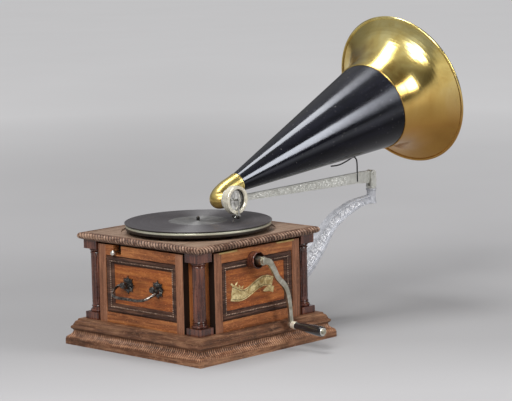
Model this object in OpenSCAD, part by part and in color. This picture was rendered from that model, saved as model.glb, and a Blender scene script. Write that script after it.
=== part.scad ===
// Horn gramophone: oak case with fluted corner columns, spring motor, 12 inch disc,
// and a horn carried with its sound box on a swinging arm.
// Origin: middle of the base, on the table. +Z up, +X the way the horn points,
// -Y the crank side, -X the handle side. Lengths in millimetres.

/* [Plinth] */
// Width of the plinth at the floor
plinth_w = 398; // [380:1:430]
// Height of the plinth
plinth_h = 52.5; // [46:0.5:60]
// Thickness of the bottom board
bottom_t = 9; // [6:0.5:14]

/* [Case] */
// Distance across opposite panel frames
case_w = 335; // [320:1:345]
// Width of each panel frame
frame_w = 248; // [236:1:252]
// Height of the top edge of the frames
frame_top = 214; // [210:0.5:216]
// Height of the underside of the top
top_under = 218; // [217:0.5:226]
// How far the frames stand out from the walls
frame_t = 15.5; // [12:0.5:18]
// Width of a frame stile or rail
rail_w = 21.5; // [18:0.5:26]
// Depth of the panel fields below the frame face
field_recess = 7.5; // [6:0.5:9]
// Width of the moulding laid round each field
panel_mould_w = 18.5; // [14:0.5:22]
// Thickness of the case walls
wall_t = 10; // [7:0.5:13]
// Width of each square corner post
post_w = 30; // [29:0.5:34]

/* [Top] */
// Thickness of the top board
top_t = 14.5; // [12:0.5:18]
// Width across the nose of the top moulding
top_w = 354.8; // [352:0.4:362]
// Width of the top moulding, from the board to its nose
top_mould_w = 12.4; // [10.4:0.2:14]
// Diameter of the sunk circle round the turntable
sink_d = 319; // [312:1:322]
// Depth of the sunk circle
sink_depth = 2.5; // [1:0.5:4]

/* [Columns] */
// Side of the square block above and below each column
block_w = 38; // [36:0.5:42]
// Height of the lower block
pedestal_h = 15; // [12:0.5:20]
// Height of the upper block
abacus_h = 18; // [14:0.5:22]
// Diameter of the fluted shaft
shaft_d = 26; // [22:0.5:28]
// Number of flutes
flutes = 12; // [8:1:16]
// Width of a flute
flute_w = 4.2; // [3:0.2:5]

/* [Turntable] */
// Diameter of the disc record
record_d = 304.8; // [304:0.2:306]
// Thickness of the disc record
record_t = 2.4; // [1.8:0.2:3]
// Height of the top face of the record
record_top = 251.6; // [250:0.2:254]
// Diameter of the turntable
table_d = 301; // [298:0.5:303]
// Height of the turntable rim
table_rim_h = 9; // [7:0.5:11]
// Thickness of the felt
felt_t = 1.6; // [1:0.2:2.4]
// Diameter of the spindle tip that passes through the record
spindle_tip_d = 7; // [6:0.1:7.2]
// How far the spindle tip stands above the record
spindle_tip_h = 9; // [6:0.5:12]

/* [Horn] */
// Tilt of the horn above level
horn_tilt = 15.9; // [12:0.1:18]
// Length of the black cone
cone_len = 439; // [410:1:460]
// Length of the brass bell
bell_len = 112.6; // [100:0.2:125]
// Diameter of the small end
neck_d = 40; // [38:0.2:44]
// Diameter of the seam between cone and bell
seam_d = 195; // [180:1:205]
// Diameter of the bell at its rim
bell_d = 344; // [330:1:356]
// Thickness of the horn's sheet
sheet_t = 1.1; // [0.8:0.1:1.6]
// Diameter of the wired rim
rim_d = 6.4; // [5:0.2:8]

/* [Arm and bracket] */
// Offset of the arm, the horn and the bracket from the middle of the case
arm_y = -25; // [-30:0.5:-20]
// Distance of the vertical swivel from the middle of the case
pivot_x = 514; // [500:1:524]
// Height of the lift pin
pivot_z = 293.7; // [290:0.1:297]
// Depth of the arm at its swivel end
arm_deep = 28; // [24:0.5:30]
// Depth of the arm at its front end
arm_shallow = 13.2; // [11:0.2:16]
// Thickness of the arm
arm_t = 7.4; // [6:0.2:9]
// Diameter of the bracket's vertical socket
socket_d = 20; // [18:0.5:24]
// Height of the bracket's vertical socket
socket_h = 33; // [28:0.5:36]
// Thickness of the bracket at its edges
bracket_t = 14; // [11:0.5:18]

/* [Sound box] */
// Distance of the sound box from the middle of the case, along X
box_x = 32; // [30:0.5:34]
// Distance of its front face from the middle of the case, along Y
box_front_y = -85; // [-86:0.5:-84]
// Diameter of the sound box
box_d = 59; // [56:0.5:62]
// Depth of the sound box
box_depth = 17.5; // [15:0.5:18]
// Diameter of the diaphragm
diaphragm_d = 50; // [46:0.5:52]
// Outer diameter of the elbow at its bend
elbow_d = 37; // [35:0.5:38]
// Gap between the needle point and the record
needle_gap = 0.3; // [0.3:0.1:0.6]

/* [Crank] */
// Distance of the crank shaft from the middle of the case, along X
crank_x = -12; // [-16:0.5:-8]
// Height of the crank shaft
crank_z = 188; // [184:0.5:188]
// Diameter of the crank shaft
crank_shaft_d = 10; // [8:0.2:11]
// Outer diameter of the wooden boss
boss_d = 35; // [32:0.5:38]
// How far the boss stands out from the frame
boss_out = 16.5; // [12:0.5:18]
// Sideways reach of the crank
crank_dx = 74; // [66:1:80]
// Downward reach of the crank
crank_dz = 141; // [134:1:144]
// Length of the grip
grip_len = 86; // [78:1:96]
// Diameter of the grip at its outer end
grip_d = 21; // [18:0.5:24]

/* [Handle] */
// Distance between the middles of the two rosettes
handle_w = 87; // [80:1:96]
// Height of the handle's pins
handle_z = 135; // [130:0.5:140]
// Diameter of the bail
bail_d = 7; // [6:0.2:8]
// How far the bail stands out from its pins
bail_out = 34; // [28:0.5:38]
// How far the bail drops below its pins
bail_drop = 18; // [14:0.5:26]

/* [Motor] */
// Teeth of the spring barrel's gear
barrel_teeth = 84; // [84]
// Teeth of each small pinion
pinion_teeth = 12; // [12]
// Teeth of the intermediate wheel
wheel_teeth = 60; // [60]
// Teeth of the crown winding gear
crown_teeth = 36; // [36]
// Outer diameter of the spring barrel
barrel_d = 76; // [70:1:80]
// Height of the spring barrel
barrel_h = 34; // [28:0.5:35]
// Thickness of the two motor plates
plate_t = 4; // [3:0.5:5]
// Radial clearance of each running fit
run_gap = 0.05; // [0.03:0.01:0.08]

/* [Hidden] */
$fn = 64;

// Case
half = case_w / 2;
wall_face = half - frame_t;
field_face = half - field_recess;
open_half = frame_w / 2 - rail_w;
open_low = plinth_h + rail_w;
open_high = frame_top - rail_w;
post_in = wall_face - post_w;
block_face = half + 0.3;
column_at = block_face - block_w / 2;
shaft_r = shaft_d / 2;
pedestal_top = plinth_h + pedestal_h;
abacus_low = top_under - abacus_h;
top_z = top_under + top_t;
board_half = top_w / 2 - top_mould_w;
boss_r = boss_d / 2;
boss_hole_r = boss_r - 2.5;
boss_face = half + boss_out;

// Turntable and motor
table_top = record_top - record_t - felt_t;
gear_m = 1;
tooth_top_f = 0.85;
crown_m = 1.5;
barrel_r = barrel_teeth * gear_m / 2;
pinion_r = pinion_teeth * gear_m / 2;
wheel_r = wheel_teeth * gear_m / 2;
crown_r = crown_teeth * crown_m / 2;
crank_pinion_r = pinion_teeth * crown_m / 2;
arbor_y = -72;
arbor = [crank_x, arbor_y];
arbor_r = 5;
d_ai = barrel_r + pinion_r;
d_si = wheel_r + pinion_r;
d_as = norm(arbor);
mid_a = (d_ai * d_ai - d_si * d_si + d_as * d_as) / (2 * d_as);
mid_h = sqrt(d_ai * d_ai - mid_a * mid_a);
to_spindle = -arbor / d_as;
mid = arbor + mid_a * to_spindle + mid_h * [to_spindle[1], -to_spindle[0]];
plate_low = 112;
plate_high = top_under - 18;
crown_plane = crank_z - crank_pinion_r;
spindle_r = 4;
worm_teeth = 24;
worm_m = 0.9;
worm_wheel_r = (worm_teeth / 2 + tooth_top_f) * worm_m;
worm_r = 4;
governor_y = worm_wheel_r + worm_r + 0.3;
governor_z = 178;
governor_disc_x = -36;
governor_disc_r = 14;
brake_z = 199.4;
brake_ball_y = 72.6;
brake_pivot = [-100, 60];

// Horn, arm and sound box
box_z = record_top + 45;
box_back_y = box_front_y + box_depth;
neck_r = neck_d / 2;
collar = [92.5, arm_y, 321.3];
horn_dir = [cos(horn_tilt), 0, sin(horn_tilt)];
bend = [box_x + 1, arm_y, box_z + 1];
leg_end = [box_x, box_back_y + 1.5, box_z];
elbow_r = elbow_d / 2;
leg_r = 16.5;
bush_y = box_back_y + 2;
bracket_foot_x = field_face;
foot_low = 98;
foot_high = 174;
foot_half = 32;
foot_t = 6;
socket_top = pivot_z - 32.4;

// Crank and handle
crank_plane = -(plinth_w / 2 - 3);
crank_arm_t = 5;
crank_end = [crank_x + crank_dx, crank_z - crank_dz];
grip_droop = 3;
handle_x = -(half + 5.5);
OAK = "#7a4a28";
DARK_OAK = "#54331f";
FIELD_OAK = "#8f5526";
STEEL = "#8d8d88";
NICKEL = "#c9c6b8";
BRASS = "#c39a3f";
BLACK = "#15151a";
BRONZE = "#3c352c";

// Points on an arc
function arc(c, r, a0, a1, n = 6) =
  [for (i = [0 : n]) c + r * [cos(a0 + (a1 - a0) * i / n), sin(a0 + (a1 - a0) * i / n)]];

// One point of a smooth curve through four neighbours
function blend(p0, p1, p2, p3, t) =
  0.5 * (2 * p1 + (p2 - p0) * t + (2 * p0 - 5 * p1 + 4 * p2 - p3) * t * t
  + (3 * p1 - p0 - 3 * p2 + p3) * t * t * t);

// A smooth curve through every point of a list
function smooth(p, n = 5) = concat(
  [for (i = [0 : len(p) - 2]) for (k = [0 : n - 1])
    blend(p[max(i - 1, 0)], p[i], p[i + 1], p[min(i + 2, len(p) - 1)], k / n)],
  [p[len(p) - 1]]);

function reversed(p) = [for (i = [len(p) - 1 : -1 : 0]) p[i]];

// Direction square to a path at one of its points
function side(p, i) =
  let (d = p[min(i + 1, len(p) - 1)] - p[max(i - 1, 0)]) [-d[1], d[0]] / norm(d);

// Outline of a strip that follows a path, with its half width at each point
function strip(p, w) = concat(
  [for (i = [0 : len(p) - 1]) p[i] + side(p, i) * w[i]],
  reversed([for (i = [0 : len(p) - 1]) p[i] - side(p, i) * w[i]]));

// Turns the outline of the X-Z plane into a plate from y0 to y1
module plate_xz(outline, y0, y1) {
  translate([0, y1, 0])
    rotate([90, 0, 0])
      linear_extrude(y1 - y0)
        polygon(outline);
}

// A round bar along Y
module bar_y(r, x, z, y0, y1) {
  translate([x, y1, z])
    rotate([90, 0, 0])
      cylinder(r = r, h = y1 - y0);
}

// A round bar along X
module bar_x(r, y, z, x0, x1) {
  translate([x0, y, z])
    rotate([0, 90, 0])
      cylinder(r = r, h = x1 - x0);
}

// A round bar along Z
module bar_z(r, x, y, z0, z1) {
  translate([x, y, z0])
    cylinder(r = r, h = z1 - z0);
}

// A box between two corners
module span(a, b) {
  translate(a)
    cube(b - a);
}

// Turns a thing made for the +X side to one of the four sides
module to_side(a) {
  rotate([0, 0, a])
    children();
}

// One mitred stick of a square moulding; profile points are [half width, height]
module mitred_stick(profile, reach) {
  intersection() {
    translate([0, reach + 1, 0])
      rotate([90, 0, 0])
        linear_extrude(2 * reach + 2)
          polygon(profile);
    linear_extrude(top_z + 10)
      polygon([[0, 0], [reach + 1, -reach - 1], [reach + 1, reach + 1]]);
  }
}

// A square moulding of four mitred sticks
module mitred_ring(profile, reach) {
  for (a = [0 : 90 : 270])
    rotate([0, 0, a])
      mitred_stick(profile, reach);
}

// A smooth round tube of changing radius along points in space
module swept(path, radii, n, normal) {
  count = len(path);
  ring = [for (i = [0 : count - 1])
    let (d = path[min(i + 1, count - 1)] - path[max(i - 1, 0)], t = d / norm(d))
    let (u = cross(normal, t) / norm(cross(normal, t)), v = cross(t, u))
    for (k = [0 : n - 1])
      path[i] + radii[i] * (cos(360 * k / n) * u + sin(360 * k / n) * v)];
  walls = [for (i = [0 : count - 2]) for (k = [0 : n - 1])
    each let (a = i * n + k, b = i * n + (k + 1) % n) [[a, b, b + n], [a, b + n, a + n]]];
  first = [for (k = [n - 1 : -1 : 0]) k];
  last = [for (k = [0 : n - 1]) (count - 1) * n + k];
  polyhedron(ring, concat([for (w = walls) reversed(w)], [reversed(first)], [reversed(last)]));
}

// Outline of a spur gear; the first tooth points along +X
function gear_outline(teeth, m) =
  let (r = teeth * m / 2, tip = r + tooth_top_f * m, root = r - 1.15 * m, step = 360 / teeth)
  let (at_root = step * 0.36, at_tip = step * 0.13)
  [for (i = [0 : teeth - 1])
    each [root * [cos(i * step - at_root), sin(i * step - at_root)],
      tip * [cos(i * step - at_tip), sin(i * step - at_tip)],
      tip * [cos(i * step + at_tip), sin(i * step + at_tip)],
      root * [cos(i * step + at_root), sin(i * step + at_root)]]];

// A spur gear with one gap or tooth turned to the angle given
module spur(teeth, m, x, y, z0, z1, turn) {
  translate([x, y, z0])
    rotate([0, 0, turn])
      linear_extrude(z1 - z0)
        polygon(gear_outline(teeth, m));
}

// Bottom board, flush with the foot of the plinth
module bottom_board() {
  color(DARK_OAK)
    span([-inner_plinth, -inner_plinth, 0], [inner_plinth, inner_plinth, bottom_t]);
}

// Plinth: foot band, hollow, bead and stepped top member
inner_plinth = wall_face;
ph = plinth_w / 2;
plinth_profile = concat(
  [[inner_plinth, 0], [ph, 0], [ph, 11], [ph - 1.5, 15.5]],
  arc([ph + 0.5, 30], 12.8, 247, 188, 6),
  arc([ph - 12, 34.6], 4.2, -75, 75, 6),
  [[ph - 12.3, 41], [ph - 12.3, 42.5]],
  arc([ph - 20, 42.5], 6.6, 0, 78, 5),
  [[ph - 18.6, 50.4], [ph - 20, plinth_h], [inner_plinth, plinth_h]]);

module plinth_moulding() {
  color(DARK_OAK)
    mitred_ring(plinth_profile, ph);
}

// A wall of the case, made for the +X side
module wall() {
  span([wall_face - wall_t, -post_in, bottom_t], [wall_face, post_in, top_under]);
}

module brake_slot(x0, x1) {
  span([x0, brake_ball_y - 17, brake_z - 4], [x1, brake_ball_y + 5.5, frame_top + 1]);
}

module wall_handle_side() {
  color(OAK)
    difference() {
      to_side(180) wall();
      span([-half, brake_ball_y - 17, brake_z - 4], [-half + 40, brake_ball_y + 5.5, frame_top - 3]);
    }
}

module wall_crank_side() {
  color(OAK)
    difference() {
      to_side(270) wall();
      bar_y(crank_shaft_d / 2 + 2, crank_x, crank_z, -half, -half + 60);
    }
}

module wall_bracket_side() {
  color(OAK)
    to_side(0) wall();
}

module wall_plain_side() {
  color(OAK)
    to_side(90) wall();
}

// The square post behind each column, hollowed to take the column and its blocks
module corner_posts() {
  color(OAK)
    for (a = [0 : 90 : 270])
      rotate([0, 0, a])
        difference() {
          span([post_in, post_in, plinth_h], [wall_face, wall_face, top_under]);
          bar_z(shaft_r + 0.1, column_at, column_at, plinth_h - 1, top_under + 1);
          span([block_face - block_w, block_face - block_w, plinth_h - 1],
            [half, half, pedestal_top]);
          span([block_face - block_w, block_face - block_w, abacus_low], [half, half, top_under + 1]);
          bar_z(shaft_r + 4.6, column_at, column_at, pedestal_top - 1, pedestal_top + 14);
          bar_z(shaft_r + 3.6, column_at, column_at, abacus_low - 11, abacus_low + 1);
        }
}

// A panel frame, made for the +X side
module panel_frame() {
  difference() {
    span([wall_face, -frame_w / 2, plinth_h], [half, frame_w / 2, frame_top]);
    span([wall_face - 1, -open_half, open_low], [half + 1, open_half, open_high]);
  }
}

module frame_handle_side() {
  color(OAK)
    difference() {
      to_side(180) panel_frame();
      brake_slot(-half - 1, -wall_face + 1);
    }
}

module frame_crank_side() {
  color(OAK)
    difference() {
      to_side(270) panel_frame();
      bar_y(boss_r, crank_x, crank_z, -half - 1, -wall_face + 1);
      for (s = [-1, 1])
        span([s * cleat_at - cleat_l / 2, -half - 1, frame_top - cleat_h],
          [s * cleat_at + cleat_l / 2, -wall_face + 1, frame_top + 1]);
    }
}

module frame_bracket_side() {
  color(OAK)
    to_side(0) panel_frame();
}

module frame_plain_side() {
  color(OAK)
    difference() {
      to_side(90) panel_frame();
      for (s = [-1, 1])
        span([s * cleat_at - cleat_l / 2, wall_face - 1, frame_top - cleat_h],
          [s * cleat_at + cleat_l / 2, half + 1, frame_top + 1]);
    }
}

// A panel field, made for the +X side
module panel_field() {
  span([wall_face, -open_half, open_low], [field_face, open_half, open_high]);
}

module panel_fields() {
  color(FIELD_OAK)
    difference() {
      for (a = [0 : 90 : 270])
        to_side(a) panel_field();
      bar_y(crank_shaft_d / 2 + 2, crank_x, crank_z, -half, -wall_face + 1);
      for (y = [-screw_dy, screw_dy], z = [screw_low, screw_high])
        bar_x(screw_r, arm_y + y, z, bracket_foot_x - 7, bracket_foot_x + 1);
    }
}

// The moulding round a field: quirk, ovolo, bead flat and hollow
mould_profile = [[0, 0], [0, 5.6], [1.2, 5.6], [1.2, 4.4], [2.4, 6.6], [4.4, 7.4], [6.6, 7.2],
  [9, 5.8], [10, 4.6], [13.4, 4.6], [14, 3.2], [panel_mould_w - 1.4, 1.4], [panel_mould_w, 0]];

// One stick of the panel moulding between the outer corners of a w by h opening
module panel_stick(length) {
  intersection() {
    rotate([90, 0, 90])
      linear_extrude(length)
        polygon(mould_profile);
    linear_extrude(10)
      polygon([[0, 0], [panel_mould_w + 1, panel_mould_w + 1],
        [length - panel_mould_w - 1, panel_mould_w + 1], [length, 0]]);
  }
}

// The four sticks, made for the +X side
module panel_moulding() {
  w = 2 * open_half;
  h = open_high - open_low;
  translate([field_face, -open_half, open_low])
    rotate([90, 0, 90]) {
      panel_stick(w);
      translate([w, 0, 0]) rotate([0, 0, 90]) panel_stick(h);
      translate([w, h, 0]) rotate([0, 0, 180]) panel_stick(w);
      translate([0, h, 0]) rotate([0, 0, 270]) panel_stick(h);
    }
}

module panel_mouldings() {
  color(DARK_OAK)
    difference() {
      for (a = [0 : 90 : 270])
        to_side(a) panel_moulding();
      bar_y(boss_r, crank_x, crank_z, -half - 1, -wall_face + 1);
    }
}

// The four lower blocks
module pedestal_blocks() {
  color(DARK_OAK)
    for (a = [0 : 90 : 270])
      rotate([0, 0, a])
        span([block_face - block_w, block_face - block_w, plinth_h],
          [block_face, block_face, pedestal_top]);
}

// The four upper blocks
module abacus_blocks() {
  color(DARK_OAK)
    for (a = [0 : 90 : 270])
      rotate([0, 0, a])
        span([block_face - block_w, block_face - block_w, abacus_low],
          [block_face, block_face, top_under]);
}

// A turned and fluted column on the axis
module column() {
  low = pedestal_top;
  high = abacus_low;
  outline = concat(
    [[0, low]],
    arc([shaft_r + 0.8, low + 3], 3, -90, 90, 6),
    [[shaft_r + 0.6, low + 6.6]],
    arc([shaft_r + 2, low + 9], 2, 250, 110, 4),
    arc([shaft_r - 0.6, low + 12.2], 1.5, -90, 90, 4),
    [[shaft_r, low + 16], [shaft_r, high - 11]],
    arc([shaft_r - 0.2, high - 9], 1.4, -90, 90, 4),
    [[shaft_r - 0.8, high - 7]],
    arc([shaft_r - 0.8, high - 2.9], 2.9, -60, 90, 5),
    [[0, high]]);
  difference() {
    rotate_extrude()
      polygon(outline);
    for (i = [0 : flutes - 1])
      rotate([0, 0, (i + 0.5) * 360 / flutes])
        translate([shaft_r + 0.7, 0, low + 20])
          cylinder(d = flute_w, h = high - low - 36, $fn = 24);
  }
}

module columns() {
  color(DARK_OAK)
    for (x = [-1, 1], y = [-1, 1])
      translate([x * column_at, y * column_at, 0]) column();
}

// Top board with the sunk circle and the spindle hole
module top_board() {
  color(OAK)
    difference() {
      span([-board_half, -board_half, top_under], [board_half, board_half, top_z]);
      bar_z(sink_d / 2, 0, 0, top_z - sink_depth, top_z + 1);
      bar_z(spindle_r + 6, 0, 0, top_under - 1, top_z);
    }
}

// Top moulding with its full round nose
nose_r = top_t / 2 - 0.4;
top_profile = concat(
  [[board_half, top_under], [top_w / 2 - nose_r - 1.6, top_under],
    [top_w / 2 - nose_r - 1.2, top_under + 1.2]],
  arc([top_w / 2 - nose_r, top_under + 1.2 + nose_r], nose_r, -80, 80, 10),
  [[top_w / 2 - nose_r, top_z + 0.5], [board_half, top_z + 0.5]]);

module top_moulding() {
  color(DARK_OAK)
    mitred_ring(top_profile, top_w / 2);
}

// Brass slips let into the tops of two frames, which hold the top board down
cleat_at = 83;
cleat_l = 52;
cleat_h = 3;

module top_cleats() {
  color(BRASS)
    for (s = [-1, 1], t = [-1, 1])
      translate([s * cleat_at, t * (half - frame_t / 2), frame_top - cleat_h / 2])
        cube([cleat_l, frame_t, cleat_h], center = true);
}

// Wooden boss round the crank shaft
module crank_boss() {
  color(DARK_OAK)
    translate([crank_x, 0, crank_z])
      rotate([90, 0, 0])
        rotate_extrude()
          polygon(concat(
            [[boss_hole_r, field_face], [boss_r, field_face], [boss_r, boss_face - 2]],
            arc([boss_r - 2, boss_face - 2], 2, 0, 90, 4),
            [[boss_hole_r + 0.6, boss_face], [boss_hole_r, boss_face - 1]]));
}

// Upper motor plate with its bearing holes
module motor_top_plate() {
  color(STEEL)
    difference() {
      span([-plate_x, -plate_y0, plate_high], [plate_x, plate_y1, plate_high + plate_t]);
      bar_z(spindle_r + run_gap, 0, 0, plate_high - 1, plate_high + plate_t + 1);
      bar_z(arbor_r + run_gap, arbor[0], arbor[1], plate_high - 1, plate_high + plate_t + 1);
      bar_z(mid_shaft_r + run_gap, mid[0], mid[1], plate_high - 1, plate_high + plate_t + 1);
      bar_z(speed_r + run_gap, governor_disc_x, governor_y, plate_high - 1, plate_high + plate_t + 1);
      bar_z(pawl_pin_r + run_gap, pawl_pivot[0], pawl_pivot[1], plate_high - 1, plate_high + plate_t + 1);
    }
}

plate_x = 62;
plate_y0 = 118;
plate_y1 = 48;
pillar_r = 5;
mid_shaft_r = 2.5;
speed_r = 3;

module motor_lower_plate() {
  color(STEEL)
    difference() {
      span([-plate_x, -plate_y0, plate_low], [plate_x, plate_y1, plate_low + plate_t]);
      bar_z(spindle_r + run_gap, 0, 0, plate_low - 1, plate_low + plate_t + 1);
      bar_z(arbor_r + run_gap, arbor[0], arbor[1], plate_low - 1, plate_low + plate_t + 1);
      bar_z(mid_shaft_r + run_gap, mid[0], mid[1], plate_low - 1, plate_low + plate_t + 1);
    }
}

// Four pillars between the plates
module motor_pillars() {
  color(STEEL)
    for (x = [-1, 1], y = [-plate_y0 + 8, plate_y1 - 8])
      bar_z(pillar_r, x * (plate_x - 8), y, plate_low + plate_t, plate_high);
}

// Four bushed hangers of the motor, and the bored block of the brake's pivot, under the top board
module motor_hangers() {
  color("#3a3733")
    for (x = [-1, 1], y = [-plate_y0 + 8, plate_y1 - 8])
      bar_z(pillar_r + 3, x * (plate_x - 8), y, plate_high + plate_t, top_under);
  color("#3a3733")
    difference() {
      bar_z(9, brake_pivot[0], brake_pivot[1], brake_z - 1, top_under);
      bar_z(brake_pin_r + run_gap, brake_pivot[0], brake_pivot[1], brake_z - 2, top_under - 0.5);
    }
}

// Bearing block of the crank shaft, fixed under the upper plate
module crank_bearing() {
  color(STEEL)
    difference() {
      span([crank_x - 12, -plate_y0, crank_z - 10], [crank_x + 12, -plate_y0 + 10, plate_high]);
      bar_y(crank_shaft_d / 2 + run_gap, crank_x, crank_z, -plate_y0 - 1, -plate_y0 + 11);
    }
}

// The two bearings of the governor shaft, fixed under the upper plate
governor_x0 = -44;
governor_x1 = 46;
governor_shaft_r = 1.5;

module governor_bearings() {
  color(BRASS)
    for (x = [governor_x0, governor_x1 - 4])
      difference() {
        span([x, governor_y - 5, governor_z - 5], [x + 4, governor_y + 5, plate_high]);
        bar_x(governor_shaft_r + run_gap, governor_y, governor_z, x - 1, x + 5);
      }
}

// Pressed turntable with its rim, web and hub
hub_r = 12;

module turntable() {
  rim = table_d / 2;
  color(NICKEL)
    rotate_extrude($fn = 128)
      polygon(concat(
        [[spindle_r, table_top - 12], [hub_r, table_top - 12], [hub_r + 2, table_top - 3],
          [rim - 3, table_top - 3], [rim - 3, table_top - table_rim_h]],
        arc([rim - 1.5, table_top - table_rim_h], 1.5, 180, 360, 4),
        arc([rim - 2, table_top - 2], 2, 0, 90, 4),
        [[spindle_r, table_top]]));
}

module turntable_felt() {
  color("#31352c")
    difference() {
      bar_z(record_d / 2 - 4, 0, 0, table_top, table_top + felt_t);
      bar_z(spindle_tip_d / 2 + 0.05, 0, 0, table_top - 1, table_top + felt_t + 1);
    }
}

// Disc record with its raised edge, playing band and plain middle
module record() {
  low = record_top - record_t;
  hole_r = spindle_tip_d / 2 + 0.05;
  rim = record_d / 2;
  color(BLACK)
    rotate_extrude($fn = 128)
      polygon([[hole_r, low], [rim - 1, low], [rim, low + 0.8], [rim, record_top - 0.6],
        [rim - 1, record_top], [rim - 4, record_top - 0.3], [62, record_top - 0.3],
        [60, record_top - 0.1], [hole_r, record_top - 0.1]]);
}

// Spindle with its tip, worm wheel and pinion
module spindle() {
  color(STEEL) {
    bar_z(spindle_r, 0, 0, plate_low - 6, table_top);
    bar_z(spindle_tip_d / 2, 0, 0, table_top, record_top + spindle_tip_h - 2);
    translate([0, 0, record_top + spindle_tip_h - 2])
      cylinder(r1 = spindle_tip_d / 2, r2 = spindle_tip_d / 2 - 2, h = 2);
    spur(worm_teeth, worm_m, 0, 0, governor_z - 2.5, governor_z + 2.5, 0);
    spur(pinion_teeth, gear_m, 0, 0, wheel_z - 2, wheel_z + 5, spindle_turn);
  }
}

// Heights of the gears
barrel_z = 120;
gear_t = 4;
wheel_z = barrel_z + gear_t + barrel_h + 2.5;

// Turns that bring each gear into mesh at rest
dir_am = atan2(mid[1] - arbor[1], mid[0] - arbor[0]);
dir_ms = atan2(-mid[1], -mid[0]);
barrel_turn = dir_am;
mid_pinion_turn = dir_am + 180 + 180 / pinion_teeth;
wheel_turn = dir_ms;
spindle_turn = dir_ms + 180 + 180 / pinion_teeth;

// Spring barrel: toothed floor, wall and lid round a hollow
module spring_barrel() {
  z1 = barrel_z + gear_t;
  z2 = z1 + barrel_h - 2;
  color(BRASS)
    difference() {
      union() {
        spur(barrel_teeth, gear_m, arbor[0], arbor[1], barrel_z, z1, barrel_turn);
        bar_z(barrel_d / 2, arbor[0], arbor[1], z1, z2 + 2);
      }
      bar_z(barrel_d / 2 - 2, arbor[0], arbor[1], z1, z2);
      bar_z(arbor_r + run_gap, arbor[0], arbor[1], barrel_z - 1, z2 + 3);
    }
}

// Wound mainspring: one steel strip in a spiral against the barrel's wall
spring_turns = 8;
spring_pitch = 2.7;
spring_w = 0.9;

module mainspring() {
  steps = 24 * spring_turns;
  r0 = barrel_d / 2 - 2 - spring_w / 2 - 0.05 - spring_turns * spring_pitch;
  path = [for (i = [0 : steps])
    (r0 + spring_pitch * i / 24) * [cos(15 * i), sin(15 * i)]];
  color("#5a646e")
    translate([arbor[0], arbor[1], barrel_z + gear_t])
      linear_extrude(barrel_h - 2)
        polygon(strip(path, [for (i = [0 : steps]) spring_w / 2]));
}

// Spring arbor with its thrust collar, the hub inside the barrel and the ratchet wheel
module spring_arbor() {
  color(STEEL) {
    bar_z(arbor_r, arbor[0], arbor[1], plate_low - 4, plate_high + plate_t + 4);
    bar_z(arbor_r + 4, arbor[0], arbor[1], plate_low + plate_t + 0.3, barrel_z - 0.3);
    bar_z(arbor_r + 7, arbor[0], arbor[1], barrel_z + gear_t + 0.3, barrel_z + gear_t + barrel_h - 2.3);
    translate([arbor[0], arbor[1], ratchet_z])
      linear_extrude(3)
        polygon(ratchet_outline);
  }
}

// Click that rides on the arbor's ratchet wheel
pawl_pivot = arbor + [26, 15];
pawl_pin_r = 2;
ratchet_r = 12;
ratchet_z = plate_high - 9;

module ratchet_pawl() {
  nose = arbor + [10.2, 9.6];
  color(STEEL) {
    translate([0, 0, ratchet_z])
      linear_extrude(3)
        polygon(strip([nose, arbor + [16, 12], pawl_pivot + [3, 1]], [0.8, 2, 4]));
    bar_z(pawl_pin_r, pawl_pivot[0], pawl_pivot[1], ratchet_z, plate_high + plate_t + 1);
  }
}

// Outline of the ratchet wheel's saw teeth
ratchet_outline = [for (i = [0 : 11])
  each [(ratchet_r - 3) * [cos(30 * i), sin(30 * i)], ratchet_r * [cos(30 * i), sin(30 * i)],
    (ratchet_r - 1) * [cos(30 * i + 15), sin(30 * i + 15)]]];

// Crown gear that the crank turns; its teeth point up
module winding_gear() {
  tooth_top = crown_plane + 1.2;
  tooth_root = crown_plane - 1.7;
  step = 360 / crown_teeth;
  color(BRASS)
    translate([arbor[0], arbor[1], 0])
      difference() {
        union() {
          bar_z(crown_r + 3.5, 0, 0, crown_plane - 8, tooth_root);
          for (i = [0 : crown_teeth - 1])
            rotate([0, 0, -90 + (i + 0.5) * step])
              translate([crown_r - 3, 0, 0])
                rotate([90, 0, 90])
                  linear_extrude(6.5)
                    polygon([[-1.35, tooth_root - 0.5], [1.35, tooth_root - 0.5], [0.42, tooth_top],
                      [-0.42, tooth_top]]);
        }
        bar_z(arbor_r, 0, 0, crown_plane - 9, tooth_top + 1);
      }
}

// Intermediate shaft with its pinion and wheel
module intermediate_gear() {
  color(STEEL) {
    bar_z(mid_shaft_r, mid[0], mid[1], plate_low - 3, plate_high + plate_t + 3);
    spur(pinion_teeth, gear_m, mid[0], mid[1], barrel_z - 1, barrel_z + gear_t + 1, mid_pinion_turn);
    spur(wheel_teeth, gear_m, mid[0], mid[1], wheel_z, wheel_z + 3, wheel_turn);
  }
}

// Governor shaft with its worm, fixed collar and friction disc
module governor() {
  color(STEEL) {
    bar_x(governor_shaft_r, governor_y, governor_z, governor_x0 - 2, governor_x1 + 2);
    bar_x(worm_r, governor_y, governor_z, -9, 9);
    bar_x(4, governor_y, governor_z, 14, 18);
    bar_x(4, governor_y, governor_z, 36, 40);
    bar_x(governor_disc_r, governor_y, governor_z, governor_disc_x - 2, governor_disc_x + 2);
  }
}

// Three short turned weights on leaf springs
weight_r = 5;
weight_orbit = 12;
weight_half = 4;

module governor_weights() {
  color(BRASS)
    translate([0, governor_y, governor_z])
      for (a = [0 : 120 : 240])
        rotate([a, 0, 0]) {
          bar_x(weight_r, 0, weight_orbit, 27 - weight_half, 27 + weight_half);
          plate_xz(strip([[15, 4.45], [18, 6], [24, 9.6], [27, 10.2], [30, 9.6], [36, 6], [39, 4.45]],
            [0.4, 0.4, 0.4, 0.4, 0.4, 0.4, 0.4]), -2, 2);
        }
}

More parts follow.
